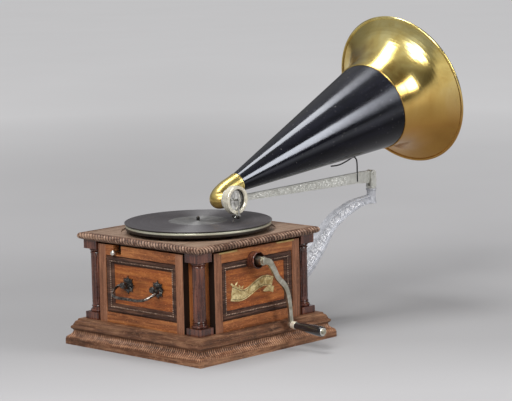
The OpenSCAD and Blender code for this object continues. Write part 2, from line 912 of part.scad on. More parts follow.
// Speed screw; its felt tip bears on the governor disc
module speed_screw() {
  tip = governor_z + governor_disc_r + 0.3;
  color(BRASS) {
    bar_z(speed_r, governor_disc_x, governor_y, tip, plate_high + plate_t + 2);
    bar_z(speed_r + 4, governor_disc_x, governor_y, plate_high + plate_t + 2, plate_high + plate_t + 8);
  }
}

brake_pin_r = 3;

// Brake lever: ball outside the case, pivot, and a pad against the governor disc
module brake_lever() {
  ball_x = -(half + 6);
  pad = [governor_disc_x, governor_y + governor_disc_r + 2.8];
  color(NICKEL) {
    bar_x(2.2, brake_ball_y, brake_z, ball_x, -wall_face + wall_t + 8);
    translate([ball_x, brake_ball_y, brake_z])
      rotate([0, 90, 0])
        rotate_extrude($fn = 24)
          polygon(arc([0, 0], 6, -90, 90, 10));
    translate([0, 0, brake_z - 1.5 - 5])
      linear_extrude(3)
        polygon(strip([[-wall_face + wall_t + 6, brake_ball_y], [-120, 66], brake_pivot, [-76, 58],
            [-54, 52], [-42, 44], pad],
          [4, 4, 6, 4, 3, 3, 2.5]));
    span([-wall_face + wall_t + 4, brake_ball_y - 2.2, brake_z - 6],
      [-wall_face + wall_t + 8, brake_ball_y + 2.2, brake_z]);
    translate([pad[0], pad[1], governor_z - 6])
      span([-3, -2.5, 0], [3, 2.5, brake_z - 4 - governor_z + 6]);
    bar_z(brake_pin_r, brake_pivot[0], brake_pivot[1], brake_z - 5, top_under - 1);
  }
}

// Crank: shaft with its winding pinion, ferrule, swept flat arm and grip pin
module crank() {
  path = smooth([[crank_x, crank_z], [crank_x + 14, crank_z - 4], [crank_x + 27, crank_z - 22],
    [crank_x + 38, crank_z - 40], [crank_x + 57, crank_z - 58], [crank_x + 67, crank_z - 80],
    [crank_x + 72, crank_z - 112], crank_end], 4);
  widths = [for (i = [0 : len(path) - 1]) 6.8 - 2 * i / (len(path) - 1)];
  color(STEEL) {
    bar_y(crank_shaft_d / 2, crank_x, crank_z, crank_plane, arbor_y - crown_r + 12);
    translate([crank_x, arbor_y - crown_r + 4, crank_z])
      rotate([90, 0, 0])
        linear_extrude(8)
          polygon(gear_outline(pinion_teeth, crown_m));
    bar_y(9, crank_x, crank_z, crank_plane, -half - 1);
    plate_xz(strip(path, widths), crank_plane - crank_arm_t, crank_plane);
    bar_y(6.8, crank_x, crank_z, crank_plane - crank_arm_t, crank_plane);
    bar_y(7.5, crank_end[0], crank_end[1], crank_plane - crank_arm_t, crank_plane);
    grip_frame()
      cylinder(r = 3, h = grip_len + crank_arm_t + 1);
    grip_frame()
      translate([0, 0, grip_len + crank_arm_t + 1])
        cylinder(r = 5, h = 3);
  }
}

// Puts +Z along the grip, with the origin inside the arm's eye
module grip_frame() {
  translate([crank_end[0], crank_plane, crank_end[1]])
    rotate([90 + grip_droop, 0, 0])
      children();
}

// Turned black grip that spins on its pin, with nickel ferrules at both ends
module crank_grip() {
  color(BLACK)
    grip_frame()
      rotate_extrude()
        polygon(concat(
          [[3 + run_gap, crank_arm_t + 1], [6.2, crank_arm_t + 1]],
          smooth([[7.4, crank_arm_t + 3], [7.2, crank_arm_t + 12], [8.6, crank_arm_t + grip_len * 0.4],
            [grip_d / 2 - 0.4, crank_arm_t + grip_len * 0.75], [grip_d / 2, crank_arm_t + grip_len - 8],
            [grip_d / 2 - 0.6, crank_arm_t + grip_len - 1]], 4),
          [[grip_d / 2 - 3, crank_arm_t + grip_len + 0.5], [3 + run_gap, crank_arm_t + grip_len + 0.5]]));
}

// A star of pointed petals in one outline; every second petal is short
module petals(count, tip, short, valley, thick) {
  step = 360 / count;
  linear_extrude(thick)
    polygon([for (k = [0 : count - 1]) for (p = [[valley, -0.5], [k % 2 == 0 ? tip : short, 0]])
      p[0] * [cos(step * (k + p[1])), sin(step * (k + p[1]))]]);
}

// Cast rosettes of the handle, each with a bored ear for the bail's pin
ear_r = 7;
ear_half = 6;
ear_root = 9;

module handle_rosettes() {
  eye = [handle_x, handle_z];
  outline = concat(arc(eye, ear_r, 65, 295, 24),
    [[-field_face - 4, handle_z - ear_root + 2], [-field_face - 1, handle_z - ear_root],
      [-field_face - 1, handle_z + ear_root], [-field_face - 4, handle_z + ear_root - 2]]);
  color(BRONZE)
    for (t = [-1, 1])
      difference() {
        union() {
          translate([-field_face, t * handle_w / 2, handle_z])
            rotate([0, -90, 0]) {
              petals(16, 19, 14.5, 10, 2.6);
              petals(8, 9.4, 9.4, 7, 4.6);
            }
          plate_xz(outline, t * handle_w / 2 - ear_half, t * handle_w / 2 + ear_half);
        }
        bar_y(bail_d / 2 - 0.9 + run_gap, handle_x, handle_z, t * handle_w / 2 - 15, t * handle_w / 2 + 15);
      }
}

// Drooping bail with a pin at each end
module handle_bail() {
  pin_r = bail_d / 2 - 0.9;
  y1 = handle_w / 2;
  route = [[0, y1 + 12, 0], [-4, y1 + 15, -2.5], [-bail_out * 0.5, y1 + 13, -bail_drop * 0.45],
    [-bail_out * 0.85, y1 + 3, -bail_drop * 0.85], [-bail_out, y1 - 14, -bail_drop],
    [-bail_out, y1 - 30, -bail_drop]];
  half_path = smooth(route, 3);
  path = concat(half_path, [for (p = reversed(half_path)) [p[0], -p[1], p[2]]]);
  radii = [for (p = path) bail_d / 2 * (1 - 0.18 * min(1, abs(p[1]) / (y1 + 10)))];
  color(BRONZE)
    translate([handle_x, 0, handle_z]) {
      swept(path, radii, 12, [bail_drop, 0, -bail_out] / norm([bail_out, bail_drop]));
      for (s = [-1, 1])
        translate([0, s * (y1 + 4) + 9, 0])
          rotate([90, 0, 0])
            cylinder(r = pin_r, h = 18);
    }
}

// Cast bracket: foot plate, rising S-shaped arm with thick edges, and socket
bracket_upper = smooth([[bracket_foot_x + 5, 170], [bracket_foot_x + 16, 152], [212, 138], [262, 138],
  [304, 160], [344, 192], [375, 215], [407, 229], [450, 241], [496, 246], [pivot_x, 247]], 4);
bracket_lower = smooth([[bracket_foot_x + 5, 100], [bracket_foot_x + 16, 96], [212, 86], [262, 84],
  [304, 98], [352, 145], [381, 180], [406, 198], [441, 214], [477, 226], [pivot_x, 229]], 4);

function bracket_between(f) = [for (i = [0 : len(bracket_upper) - 1])
  bracket_upper[i] * (1 - f) + bracket_lower[i] * f];

module bracket() {
  web = bracket_t * 0.45;
  outer = concat(bracket_upper, reversed(bracket_lower));
  inner = concat(bracket_between(0.16), reversed(bracket_between(0.84)));
  low = socket_top - socket_h;
  color(NICKEL)
    difference() {
      union() {
        difference() {
          plate_xz(outer, arm_y - bracket_t / 2, arm_y + bracket_t / 2);
          plate_xz(inner, arm_y - bracket_t / 2 - 1, arm_y - web / 2);
          plate_xz(inner, arm_y + web / 2, arm_y + bracket_t / 2 + 1);
        }
        span([bracket_foot_x, arm_y - foot_half, foot_low],
          [bracket_foot_x + foot_t, arm_y + foot_half, foot_high]);
        span([bracket_foot_x + foot_t - 1, arm_y - bracket_t / 2, foot_low + 3],
          [bracket_foot_x + foot_t * 2, arm_y + bracket_t / 2, foot_high - 10]);
        bar_z(socket_d / 2, pivot_x, arm_y, low, socket_top);
        bar_z(socket_d / 2 + 1.6, pivot_x, arm_y, socket_top - 4, socket_top);
        bar_z(socket_d / 2 + 1.6, pivot_x, arm_y, low, low + 4);
      }
      bar_z(yoke_pin_r + run_gap, pivot_x, arm_y, low - 1, socket_top + 1);
      for (y = [-screw_dy, screw_dy], z = [screw_low, screw_high])
        bar_x(screw_r, arm_y + y, z, bracket_foot_x - 1, bracket_foot_x + 7);
    }
}

yoke_pin_r = 5;
screw_r = 2.6;
screw_dy = 24;
screw_low = foot_low + 9;
screw_high = foot_high - 9;
lift_pin_r = 2.5;
cheek_t = 4;
eye_r = 8.5;

// Swivel yoke: vertical pin, base and two cheeks with the lift pin
module swivel_yoke() {
  gap = arm_t + 0.6;
  base_low = socket_top + 0.3;
  color(NICKEL)
    difference() {
      union() {
        bar_z(yoke_pin_r, pivot_x, arm_y, socket_top - socket_h - 2, base_low + 1);
        bar_z(eye_r + 1, pivot_x, arm_y, base_low, base_low + 6);
        for (s = [-1, 1])
          translate([0, arm_y + s * (gap / 2 + cheek_t / 2), 0]) {
            span([pivot_x - eye_r, -cheek_t / 2, base_low + 3], [pivot_x + eye_r, cheek_t / 2, pivot_z]);
            bar_y(eye_r, pivot_x, pivot_z, -cheek_t / 2, cheek_t / 2);
          }
        bar_y(lift_pin_r, pivot_x, pivot_z, arm_y - gap / 2 - cheek_t - 2, arm_y + gap / 2 + cheek_t + 2);
      }
      span([pivot_x - eye_r - 2, arm_y - gap / 2 - cheek_t - 3, base_low + 6],
        [pivot_x - eye_r + 1, arm_y + gap / 2 + cheek_t + 3, pivot_z - eye_r]);
    }
}

// Arm: tapered bar with raised edges, an eye at the swivel, and a ring for the elbow
arm_front = 124;
arm_back = pivot_x - 11;
arm_mid_z = pivot_z - 6;

module travelling_arm() {
  ring_y0 = box_back_y + 0.8;
  ring_y1 = box_back_y + 9;
  low = [arm_front, arm_mid_z - arm_shallow / 2];
  outline = [low, [arm_back - 46, arm_mid_z - arm_deep / 2 + 3.5], [arm_back, arm_mid_z - arm_deep / 2 + 0.5],
    [arm_back + 5, arm_mid_z], [arm_back + 5, pivot_z + eye_r - 1.5],
    [arm_back - 12, arm_mid_z + arm_deep / 2],
    [arm_front, arm_mid_z + arm_shallow / 2]];
  inset = [low + [6, 2], [arm_back - 46, arm_mid_z - arm_deep / 2 + 6.5],
    [arm_back - 6, arm_mid_z - arm_deep / 2 + 3.5], [arm_back - 6, arm_mid_z + arm_deep / 2 - 3],
    [arm_back - 14, arm_mid_z + arm_deep / 2 - 3], [arm_front + 6, arm_mid_z + arm_shallow / 2 - 2]];
  neck = smooth([[arm_front + 2, arm_y], [arm_front - 22, arm_y - 4], [arm_front - 46, ring_y1 + 16],
    [box_x + leg_r + 3, ring_y1 - 4]], 5);
  color(NICKEL)
    difference() {
      union() {
        plate_xz(outline, arm_y - arm_t / 2, arm_y + arm_t / 2);
        bar_y(eye_r - 0.5, pivot_x, pivot_z, arm_y - arm_t / 2, arm_y + arm_t / 2);
        translate([0, 0, arm_mid_z - arm_shallow / 2])
          linear_extrude(arm_shallow)
            polygon(strip(neck, [for (i = [0 : len(neck) - 1]) arm_t / 2]));
        bar_y(leg_r + 5.5, box_x, box_z, ring_y0, ring_y1);
      }
      plate_xz(inset, arm_y - arm_t / 2 - 1, arm_y - arm_t / 2 + 0.8);
      plate_xz(inset, arm_y + arm_t / 2 - 0.8, arm_y + arm_t / 2 + 1);
      bar_y(leg_r + 0.3, box_x, box_z, ring_y0 - 1, ring_y1 + 1);
      bar_y(lift_pin_r + run_gap, pivot_x, pivot_z, arm_y - 20, arm_y + 20);
      bar_z(wire_r + 0.03, wire_x, wire_y, arm_mid_z - 7, arm_mid_z + arm_deep);
    }
}

// Wire that props the horn on the arm
wire_x = pivot_x - 49;
wire_r = 1.6;
wire_y = arm_y - arm_t / 2 + 0.6;

module horn_wire() {
  x = wire_x;
  z = arm_mid_z;
  path = smooth([[x, z - 6], [x, z + 16], [x - 0.5, z + 36], [x - 4, z + 45], [x - 13, z + 49],
    [x - 33, z + 43], [x - 59, z + 37], [x - 85, z + 37]], 3);
  color(BLACK)
    swept([for (p = path) [p[0], wire_y, p[1]]], [for (p = path) wire_r], 8, [0, 1, 0]);
}

// Puts +Z along the horn, with the origin in the middle of its small end
module horn_frame() {
  translate(collar)
    rotate([0, 90 - horn_tilt, 0])
      children();
}

module horn_cone() {
  seam_r = seam_d / 2;
  color(BLACK)
    horn_frame()
      rotate_extrude($fn = 96)
        polygon([[neck_r - sheet_t, 0], [neck_r, 0], [seam_r, cone_len], [seam_r - sheet_t, cone_len]]);
}

// Brass bell with its seam bead and wired rim
bell_curve = smooth([[seam_d / 2, 0], [seam_d / 2 + 7, 32], [seam_d / 2 + 19, 62],
  [seam_d / 2 + 40, 90], [bell_d / 2 - rim_d / 2, bell_len - 2]], 5);

module horn_bell() {
  inner = [for (i = [0 : len(bell_curve) - 1]) bell_curve[i] + sheet_t * side(bell_curve, i)];
  color(BRASS)
    horn_frame()
      translate([0, 0, cone_len])
        rotate_extrude($fn = 96) {
          polygon(concat(bell_curve, reversed(inner)));
          translate([bell_d / 2 - rim_d / 2, bell_len - 2])
            circle(d = rim_d, $fn = 20);
          translate([seam_d / 2 + 0.6, 1.5])
            circle(d = 3, $fn = 16);
        }
}

// Brass elbow: from the horn's small end round to the sound box, hollow all the way
function elbow_point(t) =
  let (a = collar - 5 * horn_dir, b = bend, c = leg_end)
  t < 0.4 ? a + (b + elbow_back * (a - b) / norm(a - b) - a) * t / 0.4
  : t > 0.75 ? c + (b + elbow_back * (c - b) / norm(c - b) - c) * (1 - t) / 0.25
  : let (s = (t - 0.4) / 0.35, p = b + elbow_back * (a - b) / norm(a - b),
      q = b + elbow_back * (c - b) / norm(c - b))
    (1 - s) * (1 - s) * p + 2 * s * (1 - s) * b + s * s * q;
elbow_back = 25;
elbow_stations = [0, 0.2, 0.4, 0.44, 0.48, 0.52, 0.56, 0.6, 0.64, 0.68, 0.72, 0.75, 0.86, 1];

module elbow_tube(shrink) {
  path = concat([collar], [for (t = elbow_stations) elbow_point(t)]);
  radii = [for (t = concat([0], elbow_stations))
    (t < 0.6 ? neck_r - 0.4 + (elbow_r - neck_r + 0.4) * t / 0.6
      : t < 0.86 ? elbow_r + (leg_r - elbow_r) * (t - 0.6) / 0.26 : leg_r) - shrink];
  n = cross(collar - bend, leg_end - bend);
  swept(path, radii, 24, n / norm(n));
}

module horn_elbow() {
  color(BRASS)
    difference() {
      elbow_tube(0);
      elbow_tube(1.2);
    }
}

// Rubber bush that holds the sound box in the end of the elbow
spigot_r = 9;
spigot_end = bush_y + 13;

module elbow_bush() {
  color("#2b2826")
    difference() {
      bar_y(leg_r - 1.5, box_x, box_z, bush_y, spigot_end - 1);
      bar_y(spigot_r + run_gap, box_x, box_z, bush_y - 1, spigot_end);
    }
}

// Turns a half profile [radius, distance back from the front face] round the sound box's axis
module box_turned(profile) {
  translate([box_x, box_front_y, box_z])
    rotate([-90, 0, 0])
      rotate_extrude()
        polygon(profile);
}

box_r = box_d / 2;
diaphragm_back = 9.4;
diaphragm_t = 0.5;
gasket_t = 2;
bore_r = 6.5;

// Nickel cup with its hollow spigot
module sound_box_case() {
  seat = diaphragm_back + gasket_t;
  color(NICKEL)
    box_turned(concat(
      [[bore_r, box_depth - 3], [bore_r, box_depth + 13.5], [spigot_r, box_depth + 13.5],
        [spigot_r, box_depth], [box_r - 4, box_depth]],
      arc([box_r - 4, box_depth - 4], 4, 90, 0, 5),
      [[box_r, 4.3], [box_r - 3, 4.3], [box_r - 3, seat], [diaphragm_d / 2 - 3, seat],
        [diaphragm_d / 2 - 5, box_depth - 3]]));
}

// Polished front ring
module sound_box_ring() {
  color(NICKEL)
    box_turned(concat(
      [[box_r - 7.5, 4], [box_r - 7.5, 2]],
      arc([box_r - 5.5, 2], 2, 180, 270, 4),
      arc([box_r - 1.5, 1.5], 1.5, 270, 360, 4),
      [[box_r, 4]]));
}

// Rubber rings on both sides of the diaphragm
module sound_box_gaskets() {
  r1 = diaphragm_d / 2 + 1;
  r0 = diaphragm_d / 2 - 2.6;
  front = diaphragm_back - diaphragm_t;
  color("#3a2f28") {
    box_turned([[r0, diaphragm_back], [r1, diaphragm_back], [r1, diaphragm_back + gasket_t],
      [r0, diaphragm_back + gasket_t]]);
    box_turned([[r0, 4.3], [r1, 4.3], [r1, front], [r0, front]]);
  }
}

module diaphragm() {
  color("#b9b6a4")
    box_turned([[0, diaphragm_back - diaphragm_t], [diaphragm_d / 2, diaphragm_back - diaphragm_t],
      [diaphragm_d / 2, diaphragm_back], [0, diaphragm_back]]);
}

// Needle bar: foot on the diaphragm, stem over the ring, chuck below, on a trunnion block
chuck_top = [box_x - 3, box_z - box_r - 1];
needle_tip = [box_x - 15, record_top + needle_gap];
needle_dir = (needle_tip - chuck_top) / norm(needle_tip - chuck_top);
bar_front = box_front_y - 1.6;
needle_y = box_front_y + 2;

// Puts +Z down the needle, with the origin at the top of the chuck
module chuck_frame() {
  translate([chuck_top[0], needle_y, chuck_top[1]])
    rotate([0, 180 + atan2(-needle_dir[0], -needle_dir[1]), 0])
      children();
}

module needle_bar() {
  color(NICKEL) {
    bar_y(2.2, box_x, box_z, bar_front - 1.5, box_front_y + diaphragm_back - diaphragm_t);
    plate_xz([[box_x - 1.6, box_z + 2], [box_x + 1.6, box_z + 2], [box_x + 1, box_z - box_r - 1],
      [box_x - 4, box_z - box_r - 1]], bar_front - 1.5, bar_front);
    difference() {
      union() {
        span([box_x - 8, bar_front - 1.5, box_z - box_r - 4],
          [box_x + 5, box_front_y + 6, box_z - box_r - 0.6]);
        span([box_x - 6, box_front_y + 1, box_z - box_r - 3],
          [box_x + 4, box_front_y + 8, box_z - box_r + 1.5]);
        chuck_frame() cylinder(r = 2.8, h = 8);
      }
      bar_y(box_r + seat_gap, box_x, box_z, box_front_y - 0.5, box_back_y);
      chuck_frame() translate([0, 0, -1]) cylinder(r = needle_r, h = 10);
      chuck_frame() translate([0, 0, screw_down]) rotate([90, 0, 0]) cylinder(r = thumb_r + run_gap, h = 8);
    }
  }
}

needle_r = 0.9;
thumb_r = 1.3;
screw_down = 5;
seat_gap = 0.2;

module needle_screw() {
  color(NICKEL)
    chuck_frame()
      translate([0, 0, screw_down])
        rotate([90, 0, 0]) {
          translate([0, 0, needle_r]) cylinder(r = thumb_r, h = 7);
          translate([0, 0, 6.5]) cylinder(r = 3.4, h = 3);
        }
}

module needle() {
  length = norm(needle_tip - chuck_top);
  color(STEEL)
    chuck_frame() {
      cylinder(r = needle_r, h = length - 4);
      translate([0, 0, length - 4]) cylinder(r1 = needle_r, r2 = 0.25, h = 4);
    }
}

// Four screws of the bracket's foot
module bracket_screws() {
  color(STEEL)
    for (y = [-screw_dy, screw_dy], z = [screw_low, screw_high]) {
      bar_x(screw_r, arm_y + y, z, bracket_foot_x - 7, bracket_foot_x + foot_t);
      bar_x(screw_r + 2.2, arm_y + y, z, bracket_foot_x + foot_t, bracket_foot_x + foot_t + 2.2);
    }
}

bottom_board();
plinth_moulding();
wall_handle_side();
wall_crank_side();
wall_bracket_side();
wall_plain_side();
corner_posts();
frame_handle_side();
frame_crank_side();
frame_bracket_side();
frame_plain_side();
panel_fields();
panel_mouldings();
pedestal_blocks();
abacus_blocks();
columns();
top_board();
top_moulding();
top_cleats();
crank_boss();
motor_top_plate();
motor_lower_plate();
motor_pillars();
motor_hangers();
crank_bearing();
governor_bearings();
turntable();
turntable_felt();
record();
spindle();
spring_barrel();
mainspring();
spring_arbor();
winding_gear();
ratchet_pawl();
intermediate_gear();
governor();
governor_weights();
speed_screw();
brake_lever();
crank();
crank_grip();
handle_rosettes();
handle_bail();
bracket();
bracket_screws();
swivel_yoke();
travelling_arm();
horn_wire();
horn_cone();
horn_bell();
horn_elbow();
elbow_bush();
sound_box_case();
sound_box_ring();
sound_box_gaskets();
diaphragm();
needle_bar();
needle_screw();
needle();
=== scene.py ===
import math

import bmesh
import bpy
from mathutils import Matrix, Vector


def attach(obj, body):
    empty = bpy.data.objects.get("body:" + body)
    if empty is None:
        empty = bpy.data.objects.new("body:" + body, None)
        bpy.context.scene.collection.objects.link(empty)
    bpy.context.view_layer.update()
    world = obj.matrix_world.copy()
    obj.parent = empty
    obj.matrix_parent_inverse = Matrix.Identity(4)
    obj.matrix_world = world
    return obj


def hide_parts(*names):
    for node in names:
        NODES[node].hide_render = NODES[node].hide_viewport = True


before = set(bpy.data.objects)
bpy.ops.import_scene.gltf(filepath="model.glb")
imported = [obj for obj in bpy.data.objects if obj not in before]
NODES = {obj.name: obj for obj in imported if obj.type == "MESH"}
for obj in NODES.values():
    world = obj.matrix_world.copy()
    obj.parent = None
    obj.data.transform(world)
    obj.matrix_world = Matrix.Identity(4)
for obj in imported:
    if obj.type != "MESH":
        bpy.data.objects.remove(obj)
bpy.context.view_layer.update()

MM = 0.001

# Sizes of the object that the dressing follows, in millimetres; angles are in radians
WALL_FACE = 152.0                       # outer face of the case's inner box
FIELD_FACE = 160.0                      # face of the raised fields
OPEN_HALF = 102.5                       # half width of the opening in a frame
OPEN_LOW, OPEN_HIGH = 74.0, 192.5       # its lower and upper edge
PLINTH_HALF, PLINTH_TOP = 199.0, 52.5
TOP_UNDER, TOP_Z = 218.0, 232.5         # under and upper side of the top
TOP_HALF = 177.4                        # out to the nose of the top's edge
BOARD_HALF = 165.0                      # the top board inside its moulding
CRANK_X, CRANK_Z = -12.0, 188.0
ROSETTE_Y, ROSETTE_Z = 43.5, 135.0      # the handle's rosettes, at +Y and -Y
GRIP_X, GRIP_Y, GRIP_Z = 62.0, -196.0, 47.0
GRIP_DROOP = math.radians(3)
ARM_Y = -25.0                           # plane of the arm and the bracket
ARM_WEB = 7.4 / 2 - 0.8                 # half thickness of the arm between its raised edges
BRACKET_WEB = 3.15                      # half thickness of the bracket between its ribs
BOX_X, BOX_Z, BOX_FRONT = 32.0, 296.6, -85.0
RING_SCREWS_R = 26.2                    # circle of the screws in the sound box's ring
PIVOT_X, PIVOT_Y, PIVOT_Z = 30.5, -82.0, 264.6

# Sizes that the materials follow, in metres; the tilt is in radians
RAIL_END = 0.1025                       # half length of a rail between the stiles
STILE_SIDE = 0.1236                     # outer side of a stile
CONE_TILT = math.radians(15.9)          # rise of the cone's axis
CONE_AXIS = 0.2837                      # how far the axis passes above the origin, across it
CONE_FROM, CONE_R = 0.177, 0.0209       # start of the cone along its axis, and its radius there
CONE_TAPER = 0.152                      # growth of the radius along the axis
LABEL_R = 0.0615                        # plain middle of the record
HAIR = 0.0003                           # half width of a sharp change of colour

# Level directions of the set: towards the photographer, and to their right and left
NEAR, RIGHT, LEFT = (-0.711, -0.689), (0.693, -0.720), (-0.693, 0.720)

# The four sides of the case, as the cosine and sine of their turn from +X
SIDES = ((1, 0), (0, 1), (-1, 0), (0, -1))
CRANK_SIDE = (0, -1)


# ---------------------------------------------------------------- camera
def make_camera():
    """The photograph's camera: its axes and place were fitted to the object's edges."""
    cam = bpy.data.cameras.new("camera")
    cam.sensor_fit = "HORIZONTAL"
    cam.sensor_width = 36.0
    cam.lens = 163.44
    cam.clip_end = 200.0
    obj = bpy.data.objects.new("camera", cam)
    place = (-3.32150, -3.38496, 0.97228)
    right = Vector((0.69323209, -0.72035156, -0.02286696))
    up = Vector((0.11836925, 0.08250093, 0.98953642))
    back = -Vector((0.71092755, 0.68868515, -0.14245976))
    turn = Matrix((right, up, back)).transposed()
    obj.matrix_world = Matrix.Translation(place) @ turn.to_4x4()
    bpy.context.scene.collection.objects.link(obj)
    bpy.context.scene.camera = obj


# ---------------------------------------------------------------- nodes
class Nodes:
    """Shader nodes of one tree: made by name, joined by socket."""

    def __init__(self, tree):
        self.tree = tree

    def put(self, socket, value):
        """Links a socket, or sets a number or colour on it."""
        if hasattr(value, "is_output"):
            self.tree.links.new(value, socket)
            return
        channels = len(getattr(socket, "default_value", ())) if hasattr(value, "__len__") else 0
        if channels == 4 and len(value) == 3:
            value = (*value, 1.0)
        socket.default_value = value

    def node(self, kind, inputs=(), **settings):
        n = self.tree.nodes.new("ShaderNode" + kind)
        for key, value in settings.items():
            setattr(n, key, value)
        for key, value in dict(inputs).items():
            self.put(n.inputs[key], value)
        return n

    def math(self, op, a, b=0.0):
        return self.node("Math", {0: a, 1: b, 2: 0.0}, operation=op).outputs[0]

    def add(self, a, b):
        return self.math("ADD", a, b)

    def sub(self, a, b):
        return self.math("SUBTRACT", a, b)

    def mul(self, a, b):
        return self.math("MULTIPLY", a, b)

    def length(self, a, b):
        return self.math("SQRT", self.add(self.mul(a, a), self.mul(b, b)))

    def along(self, x, y, way):
        """The part of (x, y) that lies along a level direction."""
        return self.add(self.mul(x, way[0]), self.mul(y, way[1]))

    def vec(self, x, y, z):
        return self.node("CombineXYZ", {0: x, 1: y, 2: z}).outputs[0]

    def noise(self, vector, scale, detail=4.0, rough=0.55, distortion=0.0):
        return self.node("TexNoise", {"Vector": vector, "Scale": scale, "Detail": detail,
                                      "Roughness": rough, "Distortion": distortion}).outputs["Fac"]

    def ramp(self, fac, stops):
        n = self.node("ValToRGB", {0: fac})
        elements = n.color_ramp.elements
        while len(elements) < len(stops):
            elements.new(0.5)
        for element, (place, col) in zip(elements, stops):
            element.position = place
            element.color = (*col, 1.0) if hasattr(col, "__len__") else (col, col, col, 1.0)
        return n.outputs[0]

    def mix(self, fac, a, b, blend="MIX"):
        n = self.node("Mix", data_type="RGBA", blend_type=blend)
        self.put(n.inputs[0], fac)
        self.put(n.inputs[6], a)
        self.put(n.inputs[7], b)
        return n.outputs[2]

    def step(self, value, low, high):
        """0 below low, 1 above high and a straight rise between; low may be the larger one."""
        return self.node("MapRange", {0: value, 1: low, 2: high, 3: 0.0, 4: 1.0}).outputs[0]


class Look(Nodes):
    """A procedural material that reads the object's own coordinates, in metres."""

    def __init__(self, name):
        self.mat = bpy.data.materials.new(name)
        self.mat.use_nodes = True
        super().__init__(self.mat.node_tree)
        self.bsdf = self.tree.nodes["Principled BSDF"]
        self.co = self.node("TexCoord").outputs["Object"]
        self.x, self.y, self.z = self.node("SeparateXYZ", {0: self.co}).outputs

    def bump(self, height, strength, distance, soften=0.0):
        """Bump, with edges rounded by the radius soften."""
        inputs = {"Height": height, "Strength": strength, "Distance": distance}
        if soften:
            inputs["Normal"] = self.node("Bevel", {"Radius": soften}, samples=4).outputs[0]
        self.put(self.bsdf.inputs["Normal"], self.node("Bump", inputs).outputs[0])

    def set(self, **values):
        for key, value in values.items():
            self.put(self.bsdf.inputs[key.replace("_", " ")], value)


def shade(col, gain, lift=0.0):
    return tuple(min(1.0, c * gain + lift) for c in col)


# ---------------------------------------------------------------- wood
GRIME = (0.02, 0.012, 0.008)


def grain(k, way, along=13.0, across=240.0):
    """Coordinates stretched along the grain: "x" along X, "h" level on any side, "v" upright."""
    if way == "x":
        return k.vec(k.mul(k.x, along), k.mul(k.y, across), k.mul(k.z, across))
    h, w = k.add(k.x, k.y), k.sub(k.x, k.y)
    if way == "h":
        scale_h, scale_w, scale_z = along, along * 0.6, across
    else:
        scale_h, scale_w, scale_z = across, across * 0.5, along
    return k.vec(k.mul(h, scale_h), k.mul(w, scale_w), k.mul(k.z, scale_z))


def timber(k, way, dark, mid, light, fleck):
    """Oak: growth lines, pale rays and open pores, as a colour and a height."""
    v = grain(k, way)
    lines = k.noise(v, 1.0, detail=7.0, rough=0.62, distortion=0.7)
    broad = k.noise(v, 0.16, detail=3.0, rough=0.5, distortion=1.5)
    tone = k.add(k.mul(lines, 0.62), k.mul(broad, 0.42))
    col = k.ramp(tone, [(0.34, dark), (0.5, mid), (0.66, light)])
    rays = k.noise(grain(k, way, 60.0, 150.0), 1.3, detail=2.0, rough=0.4, distortion=2.2)
    col = k.mix(k.mul(k.step(rays, 0.56, 0.68), fleck), col, shade(light, 1.5, 0.02))
    pores = k.noise(grain(k, way, 45.0, 1500.0), 1.0, detail=3.0, rough=0.6)
    pore = k.step(pores, 0.60, 0.70)
    col = k.mix(k.mul(pore, 0.55), col, shade(dark, 0.35))
    return col, k.sub(lines, k.mul(pore, 0.8))


def dirt(k, col, amount):
    smudge = k.step(k.noise(k.co, 22.0, detail=5.0, rough=0.6), 0.46, 0.72)
    return k.mix(k.mul(smudge, amount), col, GRIME)


def oak(name, way, dark, mid, light, fleck, grime=0.35, rough=0.36, gloss=0.07, rubbed_and_highlit=None):
    """Varnished oak. A carved mesh has a point attribute: 1 on its ridges, which are made pale by
    the amount given, partly by rubbing and partly as a painted highlight, and 0 in its cuts, which
    are darkened as painted shade."""
    k = Look(name)
    col, height = timber(k, way, dark, mid, light, fleck)
    col = dirt(k, col, grime)
    if rubbed_and_highlit is not None:
        wear = k.node("Attribute", attribute_name="wear").outputs["Fac"]
        patches = k.step(k.noise(k.co, 90.0, rough=0.6), 0.30, 0.62)
        # the ridges are paled partly by rubbing and partly as a painted highlight
        ridge_highlight_and_rub = k.step(k.mul(wear, patches), 0.25, 0.95)
        col = k.mix(k.mul(ridge_highlight_and_rub, rubbed_and_highlit), col, shade(light, 1.25, 0.05))
        # painted shade: the cuts are darkened towards near black
        cut = k.sub(0.85, k.mul(k.step(wear, 0.0, 0.4), 0.85))
        col = k.mix(cut, col, (0.012, 0.007, 0.005))
    k.set(Base_Color=col, Roughness=k.add(rough, k.mul(k.noise(k.co, 60.0), 0.2)),
          Specular_IOR_Level=0.28, Coat_Weight=gloss, Coat_Roughness=0.14)
    k.bump(height, 0.35, 0.0004, soften=0.0007)
    return k.mat


